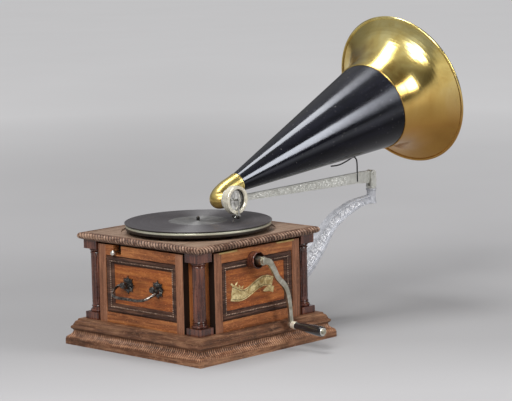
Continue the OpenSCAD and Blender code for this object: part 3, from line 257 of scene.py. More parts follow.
def frame_oak(name):
    """The frames: orange rails, pinkish-brown stiles, and outer sides painted near black as shade.
    """
    k = Look(name)
    rail, rail_height = timber(k, "h", (0.10, 0.030, 0.011), (0.27, 0.086, 0.027),
                               (0.48, 0.19, 0.060), fleck=0.35)
    stile, stile_height = timber(k, "v", (0.066, 0.025, 0.013), (0.215, 0.086, 0.043),
                                 (0.38, 0.180, 0.098), fleck=0.25)
    # the level place on a frame is the smaller of |x| and |y|
    across = k.math("MINIMUM", k.math("ABSOLUTE", k.x), k.math("ABSOLUTE", k.y))
    col = k.mix(k.step(across, RAIL_END - HAIR, RAIL_END + HAIR), rail, stile)
    # painted shade: the outer sides of the frames, by the corner gaps, are near black
    col = k.mix(k.step(across, STILE_SIDE, STILE_SIDE + HAIR), col, (0.008, 0.006, 0.005))
    col = dirt(k, col, 0.3)
    # painted shade: a thin darker line along each stile's outer edge
    edge = k.step(across, STILE_SIDE - 0.0008, STILE_SIDE)
    col = k.mix(k.mul(edge, 0.25), col, (0.03, 0.016, 0.01))
    k.set(Base_Color=col, Roughness=k.add(0.33, k.mul(k.noise(k.co, 60.0), 0.22)),
          Specular_IOR_Level=0.28, Coat_Weight=0.07, Coat_Roughness=0.2)
    k.bump(k.add(rail_height, stile_height), 0.3, 0.0003, soften=0.0008)
    return k.mat


# ---------------------------------------------------------------- metal, paint and the rest
def metal(name, dark, light, rough, spread=0.18, scale=60.0, bump=0.15, metallic=1.0,
          spots=None, coat=0.0):
    """Worn metal: two tones in cloudy patches, fine scratches in the gloss, and dark spots
    where spots gives their colour and amount."""
    k = Look(name)
    cloud = k.noise(k.co, scale, detail=6.0, rough=0.6, distortion=0.6)
    col = k.mix(k.step(cloud, 0.38, 0.66), dark, light)
    fine = k.noise(k.co, scale * 14.0, detail=3.0, rough=0.6)
    if spots:
        spot_colour, amount = spots
        spot = k.step(k.noise(k.co, scale * 4.0, detail=5.0, rough=0.7), 0.60, 0.70)
        col = k.mix(k.mul(spot, amount), col, spot_colour)
    patches = k.add(rough - spread / 2, k.mul(cloud, spread))
    scratches = k.mul(k.sub(fine, 0.5), spread * 0.5)
    k.set(Base_Color=col, Roughness=k.add(patches, scratches), Metallic=metallic)
    if coat:
        k.set(Coat_Weight=coat, Coat_Roughness=0.05)
    k.bump(fine, bump, 0.0002, soften=0.0005)
    return k.mat


def brass(name, rough):
    """Polished brass with slow waves in the sheet, brown painted shade low down and small spots."""
    k = Look(name)
    cloud = k.noise(k.co, 9.0, detail=5.0, rough=0.6, distortion=0.8)
    col = k.ramp(cloud, [(0.30, (0.54, 0.35, 0.09)), (0.50, (0.83, 0.65, 0.22)),
                         (0.72, (0.96, 0.85, 0.40))])
    # painted shade, in brown: the lower half of the bell, then the underside of the elbow
    low = k.mul(k.step(k.z, 0.535, 0.40), k.step(k.x, 0.35, 0.42))
    low = k.mul(low, k.add(0.45, k.mul(cloud, 0.7)))
    col = k.mix(low, col, (0.50, 0.22, 0.040))
    under = k.mul(k.step(k.z, 0.304, 0.280), k.step(k.x, 0.12, 0.09))
    col = k.mix(k.mul(under, 0.75), col, (0.40, 0.18, 0.045))
    spot = k.step(k.noise(k.co, 130.0, rough=0.65), 0.63, 0.74)
    col = k.mix(k.mul(spot, 0.4), col, (0.28, 0.13, 0.03))
    k.set(Base_Color=col, Metallic=1.0, Roughness=k.add(rough, k.mul(cloud, 0.09)))
    wave = k.noise(k.co, 11.0, detail=1.0, rough=0.4)
    fine = k.noise(k.co, 700.0, detail=2.0)
    k.bump(k.add(wave, k.mul(fine, 0.002)), 0.6, 0.010)
    return k.mat


def japan(name):
    """Gloss black paint with lengthwise rubbing and small pale chips."""
    k = Look(name)
    # s runs along the cone's axis, n across it in the upright plane
    cos, sin = math.cos(CONE_TILT), math.sin(CONE_TILT)
    s = k.add(k.mul(k.x, cos), k.mul(k.z, sin))
    n = k.sub(k.mul(k.z, cos), k.mul(k.x, sin))
    streak = k.noise(k.vec(k.mul(s, 6.0), k.mul(k.y, 60.0), k.mul(n, 60.0)), 1.0,
                     detail=5.0, rough=0.6)
    col = k.ramp(streak, [(0.35, (0.0012, 0.0012, 0.002)), (0.7, (0.006, 0.006, 0.011))])
    chip = k.step(k.noise(k.co, 210.0, detail=3.0, rough=0.6), 0.69, 0.73)
    col = k.mix(k.mul(chip, 0.8), col, (0.20, 0.19, 0.18))
    rough = k.add(0.04, k.mul(streak, 0.20))
    rough = k.add(rough, k.mul(k.step(s, 0.38, 0.64), 0.12))
    # round the cone: 1 on its top line, 0 level with its axis; the gloss is painted by side, bright
    # on the top line and dull on the underside
    radius = k.add(CONE_R, k.mul(k.sub(s, CONE_FROM), CONE_TAPER))
    around = k.math("DIVIDE", k.sub(n, CONE_AXIS), radius)
    painted_gloss = k.ramp(k.step(around, -0.6, 0.4), [(0.0, (0.03, 0.03, 0.04)),
                                              (0.42, (0.06, 0.065, 0.08)),
                                              (0.62, (0.86, 0.90, 1.0))])
    k.set(Base_Color=col, Roughness=rough, Specular_IOR_Level=0.72, Specular_Tint=painted_gloss)
    k.bump(k.noise(k.co, 40.0, detail=2.0), 0.12, 0.0006)
    return k.mat


def shellac(name):
    """Disc: fine rings that spread the gloss into two fans, and a plain grey middle."""
    k = Look(name)
    r = k.length(k.x, k.y)
    rings = k.math("SINE", k.mul(r, 6283.0 / 0.9))      # one ring in 0.9 mm
    bands = k.noise(k.vec(k.mul(r, 190.0), 0.0, 0.0), 1.0, detail=3.0, rough=0.7)
    middle = k.sub(1.0, k.step(r, LABEL_R - HAIR, LABEL_R + HAIR))
    disc = k.ramp(bands, [(0.35, (0.045, 0.040, 0.043)), (0.7, (0.085, 0.079, 0.083))])
    label = k.ramp(k.noise(k.co, 70.0), [(0.3, (0.085, 0.083, 0.082)), (0.7, (0.15, 0.148, 0.145))])
    k.set(Base_Color=k.mix(middle, disc, label), Roughness=k.add(0.47, k.mul(middle, 0.1)),
          Anisotropic=0.95, Anisotropic_Rotation=0.25, Specular_IOR_Level=0.62,
          Tangent=k.node("Tangent", direction_type="RADIAL", axis="Z").outputs[0])
    relief = k.mul(k.add(rings, k.mul(bands, 2.0)), k.sub(1.0, middle))
    k.bump(relief, 0.16, 0.0001)
    return k.mat


def rim_nickel(name):
    """Turntable: a pale rim line, and painted shade that darkens the side under it."""
    k = Look(name)
    cloud = k.noise(k.co, 60.0, detail=5.0, rough=0.6)
    pale = k.mix(cloud, (0.52, 0.52, 0.40), (0.72, 0.72, 0.58))
    under = k.mix(cloud, (0.020, 0.016, 0.013), (0.060, 0.050, 0.040))
    # painted shade: below the rim line the side is near black
    k.set(Base_Color=k.mix(k.step(k.z, 0.2425, 0.2440), under, pale), Metallic=0.7,
          Roughness=k.add(0.3, k.mul(cloud, 0.2)))
    k.bump(k.noise(k.co, 800.0, detail=3.0), 0.15, 0.0002, soften=0.0005)
    return k.mat


def mica(name):
    """The sound box's diaphragm: a clear sheet with painted reflections, pale uneven patches in its
    colour.
    """
    k = Look(name)
    cloud = k.noise(k.co, 60.0, rough=0.6, distortion=1.2)
    # painted reflection: the pale patches of the ramp
    col = k.ramp(cloud, [(0.3, (0.16, 0.155, 0.14)), (0.46, (0.50, 0.49, 0.46)),
                         (0.6, (0.93, 0.92, 0.88))])
    k.set(Base_Color=col, Roughness=0.09, Metallic=0.6, Coat_Weight=1.0, Coat_Roughness=0.02)
    k.bump(k.noise(k.co, 34.0, detail=1.0), 0.7, 0.0015)
    return k.mat


def plain(name, dark, light, rough, scale=200.0, bump=0.3, **extra):
    """Felt, rubber, varnished wood and paint: two tones in a cloudy pattern."""
    k = Look(name)
    cloud = k.noise(k.co, scale, rough=0.6)
    k.set(Base_Color=k.ramp(cloud, [(0.3, dark), (0.7, light)]),
          Roughness=k.add(rough, k.mul(cloud, 0.1)), **extra)
    k.bump(cloud, bump, 0.0004)
    return k.mat


def make_looks():
    """Every material, by a short key."""
    return {
        "field": oak("oak_field", "h", (0.10, 0.025, 0.008), (0.285, 0.074, 0.017),
                     (0.48, 0.165, 0.038), fleck=0.4),
        "frame": frame_oak("oak_frame"),
        "post": oak("oak_post", "v", (0.08, 0.022, 0.007), (0.22, 0.066, 0.018),
                    (0.35, 0.125, 0.035), fleck=0.3),
        "top": oak("oak_top", "x", (0.11, 0.062, 0.038), (0.235, 0.150, 0.102),
                   (0.37, 0.255, 0.185), fleck=0.25, grime=0.3, rough=0.30),
        "dark": oak("oak_dark", "v", (0.012, 0.004, 0.003), (0.066, 0.018, 0.011),
                    (0.22, 0.075, 0.042), fleck=0.2, gloss=0.8, rough=0.18),
        # painted shade: the recessed panel mouldings are a much darker copy of the oak
        "mould": oak("oak_moulding_shade", "h", (0.008, 0.004, 0.003), (0.045, 0.018, 0.011),
                     (0.16, 0.075, 0.043), fleck=0.2),
        "carved": oak("oak_carved", "h", (0.030, 0.013, 0.008), (0.115, 0.052, 0.030),
                      (0.36, 0.225, 0.15), fleck=0.2, grime=0.3, rubbed_and_highlit=0.85),
        "plinth": oak("oak_plinth", "h", (0.030, 0.012, 0.006), (0.185, 0.074, 0.035),
                      (0.45, 0.235, 0.125), fleck=0.3, grime=0.45, rubbed_and_highlit=0.62),
        # painted shade: the inner box and bottom board, seen only in the gaps, are a near-black
        # copy of the oak
        "inner": oak("oak_inner_shade", "v", (0.015, 0.009, 0.006), (0.040, 0.023, 0.014),
                     (0.08, 0.048, 0.03), fleck=0.2),
        "bead": oak("oak_bead", "h", (0.020, 0.009, 0.006), (0.10, 0.050, 0.032),
                    (0.44, 0.30, 0.215), fleck=0.2, grime=0.2, rubbed_and_highlit=1.0),
        "steel": metal("steel_worn", (0.42, 0.42, 0.40), (0.58, 0.57, 0.54), rough=0.34),
        "crank": metal("steel_olive", (0.42, 0.395, 0.31), (0.70, 0.67, 0.57), rough=0.34,
                       spread=0.22, scale=80.0, bump=0.35, spots=((0.12, 0.10, 0.06), 0.45)),
        "nickel": metal("nickel_worn", (0.70, 0.67, 0.60), (0.83, 0.81, 0.75), rough=0.24,
                        spots=((0.36, 0.30, 0.2), 0.3)),
        "ring": metal("nickel_cream", (0.80, 0.74, 0.58), (0.93, 0.89, 0.76), rough=0.25,
                      metallic=0.5),
        "arm": metal("nickel_arm", (0.58, 0.58, 0.53), (0.80, 0.80, 0.75), rough=0.42,
                     metallic=0.55, spots=((0.34, 0.31, 0.24), 0.4)),
        "arm_leaf": metal("nickel_leaf", (0.86, 0.86, 0.81), (0.97, 0.97, 0.93), rough=0.36,
                          metallic=0.5),
        "cast": metal("silver_ground", (0.46, 0.47, 0.50), (0.68, 0.69, 0.73), rough=0.5,
                      spread=0.2, scale=90.0, bump=0.6, metallic=0.2),
        "silver": metal("silver_cast", (0.86, 0.87, 0.90), (0.97, 0.97, 0.99), rough=0.45,
                        spread=0.2, scale=90.0, bump=0.6, metallic=0.35),
        "brass": brass("brass_polished", rough=0.15),
        "brass_elbow": brass("brass_elbow", rough=0.26),
        "brass_dull": metal("brass_dull", (0.50, 0.36, 0.13), (0.66, 0.50, 0.22), rough=0.36),
        "gilt": metal("gilt", (0.36, 0.23, 0.07), (0.86, 0.72, 0.38), rough=0.42,
                      metallic=0.4, scale=110.0, spots=((0.07, 0.035, 0.012), 0.95)),
        "gilt_dark": metal("gilt_shade", (0.055, 0.032, 0.012), (0.16, 0.10, 0.04), rough=0.5,
                           metallic=0.3),
        "japan": japan("japan_black"),
        "wire": plain("wire_black", (0.010, 0.010, 0.011), (0.035, 0.032, 0.030), rough=0.35),
        "bronze": metal("bronze_dark", (0.012, 0.012, 0.011), (0.11, 0.10, 0.088), rough=0.20,
                        spread=0.14, scale=120.0, bump=0.08, metallic=0.8, coat=1.0),
        # painted highlight: the bail is a paler copy of the dark bronze, with rubbing
        "bail": metal("bronze_rubbed", (0.045, 0.040, 0.035), (0.30, 0.26, 0.23), rough=0.26,
                      spread=0.2, scale=90.0, bump=0.08, metallic=0.9),
        "shellac": shellac("shellac_disc"),
        "felt": plain("felt_green", (0.020, 0.026, 0.018), (0.05, 0.06, 0.042), rough=0.9,
                      scale=900.0, bump=0.8),
        "rubber": plain("rubber_dark", (0.018, 0.015, 0.013), (0.045, 0.038, 0.032), rough=0.7),
        "mica": mica("mica_clear"),
        "grip": plain("grip_black", (0.006, 0.006, 0.007), (0.020, 0.019, 0.020), rough=0.12,
                      scale=60.0, bump=0.1, Coat_Weight=1.0, Coat_Roughness=0.04),
        "iron": metal("iron_dark", (0.10, 0.098, 0.095), (0.20, 0.195, 0.19), rough=0.5),
        "black_steel": metal("steel_black", (0.030, 0.028, 0.026), (0.11, 0.10, 0.09),
                             rough=0.3, spread=0.2, scale=150.0, bump=0.4),
        "rim": rim_nickel("nickel_rim"),
    }


def dress(look):
    """Gives every CAD node its material."""
    uses = {
        "field": ["panel_fields"],
        "frame": ["frame_handle_side", "frame_crank_side", "frame_bracket_side",
                  "frame_plain_side"],
        "post": ["corner_posts"],
        "top": ["top_board"],
        "dark": ["columns", "pedestal_blocks", "abacus_blocks", "crank_boss"],
        "mould": ["panel_mouldings"],
        "carved": ["plinth_moulding", "top_moulding"],
        "inner": ["bottom_board", "wall_handle_side", "wall_crank_side", "wall_bracket_side",
                  "wall_plain_side"],
        "black_steel": ["spindle", "needle_screw", "needle"],
        "rim": ["turntable"],
        "steel": ["needle_bar", "spring_arbor", "intermediate_gear", "ratchet_pawl", "governor",
                  "mainspring", "bracket_screws", "motor_pillars", "crank_bearing"],
        "iron": ["motor_top_plate", "motor_lower_plate", "motor_hangers"],
        "crank": ["crank"],
        "nickel": ["brake_lever"],
        "ring": ["sound_box_case", "sound_box_ring"],
        "arm": ["travelling_arm", "swivel_yoke"],
        "cast": ["bracket"],
        "brass": ["horn_bell", "horn_elbow"],
        "brass_dull": ["top_cleats", "governor_bearings", "spring_barrel", "winding_gear",
                       "governor_weights", "speed_screw"],
        "japan": ["horn_cone"],
        "wire": ["horn_wire"],
        "bronze": ["handle_rosettes"],
        "bail": ["handle_bail"],
        "shellac": ["record"],
        "felt": ["turntable_felt"],
        "rubber": ["elbow_bush", "sound_box_gaskets"],
        "mica": ["diaphragm"],
        "grip": ["crank_grip"],
    }
    for key, names in uses.items():
        for name in names:
            obj = NODES[name]
            if not obj.material_slots:
                obj.data.materials.append(look[key])
            for slot in obj.material_slots:
                slot.material = look[key]


# ---------------------------------------------------------------- mesh helpers
def add_mesh(name, verts, faces, mat, body, wear=None):
    """A smooth mesh from millimetres, on a body and with its material."""
    mesh = bpy.data.meshes.new(name)
    mesh.from_pydata([(x * MM, y * MM, z * MM) for x, y, z in verts], [], faces)
    mesh.validate()
    if wear is not None:
        values = mesh.attributes.new("wear", "FLOAT", "POINT")
        values.data.foreach_set("value", wear)
    bm = bmesh.new()
    bm.from_mesh(mesh)
    bmesh.ops.recalc_face_normals(bm, faces=bm.faces)
    bm.to_mesh(mesh)
    bm.free()
    for polygon in mesh.polygons:
        polygon.use_smooth = True
    mesh.materials.append(mat)
    obj = bpy.data.objects.new(name, mesh)
    bpy.context.scene.collection.objects.link(obj)
    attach(obj, body)
    return obj


def sharpen(obj, angle=38.0):
    """Keeps the corners of a smooth mesh hard where they turn by more than the angle."""
    limit = math.radians(angle)
    bm = bmesh.new()
    bm.from_mesh(obj.data)
    for e in bm.edges:
        e.smooth = len(e.link_faces) != 2 or e.calc_face_angle(0.0) < limit
    bm.to_mesh(obj.data)
    bm.free()


def arc(cx, cy, r, start, end, steps):
    """Points on a circle from one angle to another, in degrees."""
    angles = [math.radians(start + (end - start) * i / steps) for i in range(steps + 1)]
    return [(cx + r * math.cos(a), cy + r * math.sin(a)) for a in angles]


def spline(points, steps):
    """A smooth curve through points of any length, cut in so many steps from each to the next."""
    last = len(points) - 1
    out = []
    for i in range(last):
        around = (points[max(0, i - 1)], points[i], points[i + 1], points[min(last, i + 2)])
        for q in range(steps):
            t = q / steps
            out.append([0.5 * (2 * b + (c - a) * t + (2 * a - 5 * b + 4 * c - d) * t * t
                               + (3 * b - a - 3 * c + d) * t ** 3) for a, b, c, d in zip(*around)])
    out.append(list(points[last]))
    return out


def neighbours(points, i):
    """The points before and after a point; an end stands in for the one it lacks."""
    return points[max(0, i - 1)], points[min(len(points) - 1, i + 1)]


def tube_faces(base, rows, n):
    """Quads between rows of n points, each row closed in a ring, from the point base on."""
    faces = []
    for i in range(rows - 1):
        for k in range(n):
            a, b = base + i * n + k, base + i * n + (k + 1) % n
            faces.append((a, b, b + n, a + n))
    return faces


def on_side(side, out, along, z):
    """A point at a distance out from the case's axis, and along one of its sides."""
    ca, sa = side
    return (ca * out - sa * along, sa * out + ca * along, z)


def moulded_ring(name, profile, relief, step, mat, node):
    """A square moulding, mitred at its corners, with a relief cut along it. relief(t, j, fade)
    gives the depth, and a value that pales the ridges (rubbing and painted highlight) and darkens
    the cuts (painted shade), at the place t along a side, on point j of the profile."""
    fade_length = 5.0
    n = len(profile)
    normals = []
    for j in range(n):
        ax, az = profile[j - 1]
        bx, bz = profile[(j + 1) % n]
        dx, dz = bx - ax, bz - az
        size = math.hypot(dx, dz) or 1.0
        normals.append((dz / size, -dx / size))
    reach = max(p[0] for p in profile)
    count = int(round(2 * reach / step))
    verts, wear = [], []
    for side in SIDES:
        for i in range(count):
            s = -1 + 2 * i / count
            for j, (d, z) in enumerate(profile):
                t = s * d
                fade = min(1.0, max(0.0, (d - abs(t)) / fade_length))
                cut, rub_and_painted_light = relief(t, j, fade)
                out = d - cut * normals[j][0]
                verts.append(on_side(side, out, s * out, z - cut * normals[j][1]))
                wear.append(rub_and_painted_light)
    total = len(SIDES) * count
    faces = []
    for i in range(total):
        a, b = i * n, ((i + 1) % total) * n
        for j in range(n):
            k = (j + 1) % n
            faces.append((a + j, b + j, b + k, a + k))
    obj = add_mesh(name, verts, faces, mat, "case", wear)
    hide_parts(node)
    return obj


def turned(name, profile, place, mat, body, n=48):
    """A solid of revolution from (radius, height) pairs, closed at its ends."""
    verts = []
    for r, h in profile:
        for k in range(n):
            a = 2 * math.pi * k / n
            verts.append(place(r * math.cos(a), r * math.sin(a), h))
    faces = tube_faces(0, len(profile), n)
    faces.append(list(range(n - 1, -1, -1)))
    faces.append([(len(profile) - 1) * n + k for k in range(n)])
    sharpen(add_mesh(name, verts, faces, mat, body))


# ---------------------------------------------------------------- carved oak
def top_edge(look):
    """The top's edge: slanting lobes cut round its nose."""
    nose_r, lobe_pitch, lobe_depth = 6.85, 8.2, 2.5
    turn_half = 80                      # degrees of the nose above and below level
    run_out = 22                        # degrees in which the lobes fade at the nose's ends
    slant = 150                         # degrees of the nose in which a lobe shifts by a pitch
    step_up, crest = 1.2, 0.5           # under the nose, and above the board
    cx, cz = TOP_HALF - nose_r, TOP_UNDER + step_up + nose_r
    turn = arc(cx, cz, nose_r, -turn_half, turn_half, 16)
    head = [(BOARD_HALF, TOP_UNDER), (cx - 1.6, TOP_UNDER), (cx - 1.2, TOP_UNDER + step_up)]
    tail = [(cx, TOP_Z + crest), (BOARD_HALF, TOP_Z + crest)]
    first = len(head)

    def relief(t, j, fade):
        if j < first or j >= first + len(turn):
            return 0.0, 0.45
        a = (j - first) / (len(turn) - 1) * 2 * turn_half - turn_half
        edge = min(1.0, (turn_half - abs(a)) / run_out)
        lobe = abs(math.sin(math.pi * (t / lobe_pitch + a / slant)))
        depth = lobe_depth * (1 - lobe ** 0.6) * edge * fade
        return depth, min(1.0, lobe ** 1.5 * (0.35 + 0.65 * edge))
    sharpen(moulded_ring("top_gadroons", head + turn + tail, relief, 0.9, look["carved"],
                         "top_moulding"), 55)


def plinth(look):
    """The plinth: a foot band, a wide hollow with upright flutes, and a bead and curve above."""
    flute_pitch, flute_depth = 5.8, 2.2
    ph = PLINTH_HALF
    head = [(WALL_FACE, 0), (ph, 0), (ph, 11), (ph - 1.5, 15.5)]
    hollow = arc(ph + 0.5, 30, 12.8, 247, 188, 12)
    tail = arc(ph - 12, 34.6, 4.2, -75, 75, 8) + [(ph - 12.3, 41), (ph - 12.3, 42.5)]
    tail += arc(ph - 20, 42.5, 6.6, 0, 78, 6)
    tail += [(ph - 18.6, 50.4), (ph - 20, PLINTH_TOP), (WALL_FACE, PLINTH_TOP)]
    first = len(head) - 1
    last = len(head) + len(hollow) - 1

    def relief(t, j, fade):
        if j < first or j > last:
            return 0.0, 0.30 if j < first else 0.22
        edge = math.sin(math.pi * (j - first + 0.35) / (last - first + 0.7)) ** 0.5
        lobe = abs(math.sin(math.pi * t / flute_pitch))
        return flute_depth * (1 - lobe ** 0.7) * edge * fade, lobe ** 1.6
    sharpen(moulded_ring("plinth_flutes", head + hollow + tail, relief, 0.85, look["plinth"],
                         "plinth_moulding"), 42)


def panel_beads(look):
    """Rows of small turned beads in the mouldings round the four fields."""
    inset, pitch, r, stand = 11.7, 4.35, 1.75, 5.0
    boss_clear = 20                     # no beads under the crank's boss
    w, h = 2 * (OPEN_HALF - inset), OPEN_HIGH - OPEN_LOW - 2 * inset
    nw, nh = round(w / pitch), round(h / pitch)
    rows = []
    for i in range(nw):
        u = w / 2 - w * i / nw
        rows += [(-w / 2 + w * i / nw, OPEN_LOW + inset), (u, OPEN_HIGH - inset)]
    for i in range(nh):
        rows += [(w / 2, OPEN_LOW + inset + h * i / nh), (-w / 2, OPEN_HIGH - inset - h * i / nh)]
    bm = bmesh.new()
    bmesh.ops.create_icosphere(bm, subdivisions=2, radius=1.0)
    ball = [v.co.copy() for v in bm.verts]
    triangles = [[v.index for v in f.verts] for f in bm.faces]
    bm.free()
    verts, faces, wear = [], [], []
    for side in SIDES:
        for u, z in rows:
            if side == CRANK_SIDE and math.hypot(u - CRANK_X, z - CRANK_Z) < boss_clear:
                continue
            base = len(verts)
            for p in ball:
                verts.append(on_side(side, FIELD_FACE + stand + p.x * r, u + p.y * r, z + p.z * r))
                # this value pales the outward face of each bead as a painted highlight, with
                # rubbing, and darkens the rest as painted shade
                wear.append(max(0.0, p.x) ** 1.2)
            faces += [[base + i for i in triangle] for triangle in triangles]
    add_mesh("panel_beads", verts, faces, look["bead"], "case", wear)


# ---------------------------------------------------------------- ornament
class Relief:
    """Leaves and stems laid on a flat face; place(u, v, h) gives the point in millimetres."""

    # across a leaf: part of the half width, and height at the edges and on the two ribs
    LEAF_EDGE, LEAF_RIB = (1.0, -0.3), (0.55, 0.75)

    def __init__(self, place):
        self.place = place
        self.verts, self.faces = [], []

    def leaf(self, u, v, angle, length, width, height, curl=0.0, n=9):
        """A leaf from (u, v) along the angle, turning by curl, with two ribs and a groove."""
        base = len(self.verts)
        (edge, edge_h), (rib, rib_h) = self.LEAF_EDGE, self.LEAF_RIB
        for i in range(n + 1):
            s = i / n
            a = angle + curl * s
            cu = u + length * s * math.cos(angle + curl * s / 2)
            cv = v + length * s * math.sin(angle + curl * s / 2)
            swell = math.sin(math.pi * min(1.0, s * 0.92 + 0.08)) ** 0.8
            wide = width / 2 * swell * (1.15 - 0.5 * s)
            nu, nv = -math.sin(a), math.cos(a)
            groove_h = 0.45 + 0.55 * (1 - s)
            for k, h in ((-edge, edge_h), (-rib, rib_h), (0.0, groove_h), (rib, rib_h),
                         (edge, edge_h)):
                self.verts.append(self.place(cu + nu * wide * k, cv + nv * wide * k, height * h))
        for i in range(n):
            for k in range(4):
                a = base + i * 5 + k
                self.faces.append((a, a + 1, a + 6, a + 5))
            a = base + i * 5
            self.faces.append((a + 4, a, a + 5, a + 9))
        self.faces.append([base + k for k in range(5)])
        self.faces.append([base + n * 5 + k for k in range(4, -1, -1)])

    def stem(self, points, r0, r1, n=6):
        """A round stem through (u, v) points, from radius r0 to r1."""
        base = len(self.verts)
        m = len(points)
        for i, (u, v) in enumerate(points):
            a, b = neighbours(points, i)
            du, dv = b[0] - a[0], b[1] - a[1]
            size = math.hypot(du, dv) or 1.0
            nu, nv = -dv / size, du / size
            r = r0 + (r1 - r0) * i / (m - 1)
            for k in range(n):
                c, s = math.cos(2 * math.pi * k / n), math.sin(2 * math.pi * k / n)
                self.verts.append(self.place(u + nu * r * c, v + nv * r * c, r * s * 0.8))
        self.faces += tube_faces(base, m, n)
        self.faces.append([base + k for k in range(n - 1, -1, -1)])
        self.faces.append([base + (m - 1) * n + k for k in range(n)])

    def add_to(self, verts, faces):
        base = len(verts)
        verts += self.verts
        faces += [[base + i for i in face] for face in self.faces]


def curl(u, v, angle, r, hand, turns=1.35, n=22):
    """The line of a stem that winds in to a small eye; it starts at u, v going along angle."""
    side = angle + hand * math.pi / 2
    cu, cv = u + r * math.cos(side), v + r * math.sin(side)
    points = []
    for i in range(n + 1):
        s = i / n
        rr = r * (1 - 0.78 * s)
        a = angle - hand * math.pi / 2 + hand * 2 * math.pi * turns * s
        points.append((cu + rr * math.cos(a), cv + rr * math.sin(a)))
    return points


def vine(relief, path, amp, unit, thick, leaf):
    """A running scroll: curls turn up and down by turns along a path of (u, v, half width)."""
    lengths = [0.0]
    for a, b in zip(path, path[1:]):
        lengths.append(lengths[-1] + math.hypot(b[0] - a[0], b[1] - a[1]))

    def at(s):
        """u, v, half width and direction at a length along the path."""
        s = min(max(s, 0.0), lengths[-1])
        i = 0
        while i < len(path) - 2 and lengths[i + 1] < s:
            i += 1
        f = (s - lengths[i]) / (lengths[i + 1] - lengths[i])
        a, b = path[i], path[i + 1]
        angle = math.atan2(b[1] - a[1], b[0] - a[0])
        return [a[k] + (b[k] - a[k]) * f for k in range(3)] + [angle]
    count = max(1, int(lengths[-1] // unit))
    for i in range(count):
        hand = 1 if i % 2 else -1
        u, v, w, angle = at(unit * (i + 0.1))
        r = w * amp
        u0, v0 = u + math.sin(angle) * hand * r, v - math.cos(angle) * hand * r
        # the stem comes in straight for half a unit, then winds in to an eye
        back = [(u0 - math.cos(angle) * unit * q, v0 - math.sin(angle) * unit * q)
                for q in (0.55, 0.3)]
        points = curl(u0, v0, angle, r, hand)
        relief.stem(back + points, thick, thick * 0.7)
        eye_u, eye_v = points[-1]
        relief.leaf(eye_u - thick, eye_v, angle, thick * 3, thick * 3, thick)
        # three leaves on a unit, at a part of its length and on either side
        for q, side in ((0.35, -hand), (0.62, hand), (0.85, -hand)):
            lu, lv, lw, la = at(unit * (i + q))
            relief.leaf(lu, lv + side * lw * 0.15, la + side * 0.9, leaf * lw, leaf * lw * 0.5,
                        thick * 1.1, side * 0.7)


# Middle line and half width of the bracket's web, as (x, z, half width)
BRACKET_PATH = [(182, 124, 20), (212, 112, 20), (262, 111, 20), (304, 129, 23), (348, 168.5, 17),
                (378, 197.5, 13), (406.5, 213.5, 11.5), (445, 227.5, 9.5), (486, 236, 7)]
ARM_PATH = [(136 + i * 24.0, 287.7, 4.4 + i * 0.36) for i in range(14)]


def scrolls(name, path, depth, mat, body, slot, **pattern):
    """The same vine on the front and the back of the arm or the bracket."""
    for sign, face in ((-1, "front"), (1, "back")):
        def place(u, v, h, sign=sign):
            return (u, ARM_Y + sign * (depth + h), v)
        relief = Relief(place)
        vine(relief, path, **pattern)
        add_mesh("%s_%s" % (name, face), relief.verts, relief.faces, mat, body)


# Middle line and half width of the ribbon on the crank side, as (x, z, half width)
RIBBON = [(-69, 127, 16.5), (-62, 125, 16), (-52, 121.5, 14.5), (-42, 119, 12), (-30, 119.5, 10.5),
          (-16, 124.5, 10), (-2, 131, 10), (11, 136, 10.5), (24, 138.8, 11), (38, 137.5, 11),
          (50, 133, 11)]
RIBBON_FOLD = [(22, 118.5, 0.6), (28, 119.5, 3.5), (36, 120.5, 5.2), (46, 119.5, 6.2),
               (53, 117, 6.6)]
# Leaves at its left end, as (x, z, angle, length)
RIBBON_LEAVES = [(-64, 142, 2.5, 9), (-58, 141, 0.5, 9), (-44, 133, 1.9, 9), (-40, 132, 0.6, 8)]
# Across the ribbon: part of the half width, and part of the depth
RIBBON_SECTION = [(-1.0, 0.05), (-0.97, 0.85), (-0.90, 0.9), (-0.84, 0.45), (-0.4, 0.5),
                  (0.0, 0.5), (0.4, 0.5), (0.84, 0.45), (0.90, 0.9), (0.97, 0.85), (1.0, 0.05)]
RIBBON_LEAN = 0.75                      # how far the section turns with the line's slope
RIBBON_BORDER = 0.74                    # place of the two border lines across the ribbon


def band(line, depth, verts, faces):
    """Adds a flat ribbon with raised edges on the crank side, and returns its middle line."""
    base = len(verts)
    rows = spline(line, 6)
    m = len(RIBBON_SECTION)
    for i, (u, v, w) in enumerate(rows):
        a, b = neighbours(rows, i)
        angle = math.atan2(b[1] - a[1], b[0] - a[0]) * RIBBON_LEAN
        nu, nv = -math.sin(angle), math.cos(angle)
        for k, h in RIBBON_SECTION:
            verts.append((u + nu * w * k, -(FIELD_FACE + 0.05 + h * depth), v + nv * w * k))
    for i in range(len(rows) - 1):
        q = base + i * m
        faces += [(q + k, q + k + 1, q + k + m + 1, q + k + m) for k in range(m - 1)]
        faces.append((q, q + m, q + 2 * m - 1, q + m - 1))
    for i in (0, len(rows) - 1):
        faces.append([base + i * m + k for k in range(m)])
    return rows


def on_crank_field(height, floor):
    """A place function for reliefs that lie on the crank side's field, never below floor."""
    return lambda u, v, h: (u, -(FIELD_FACE + height + max(h, floor)), v)


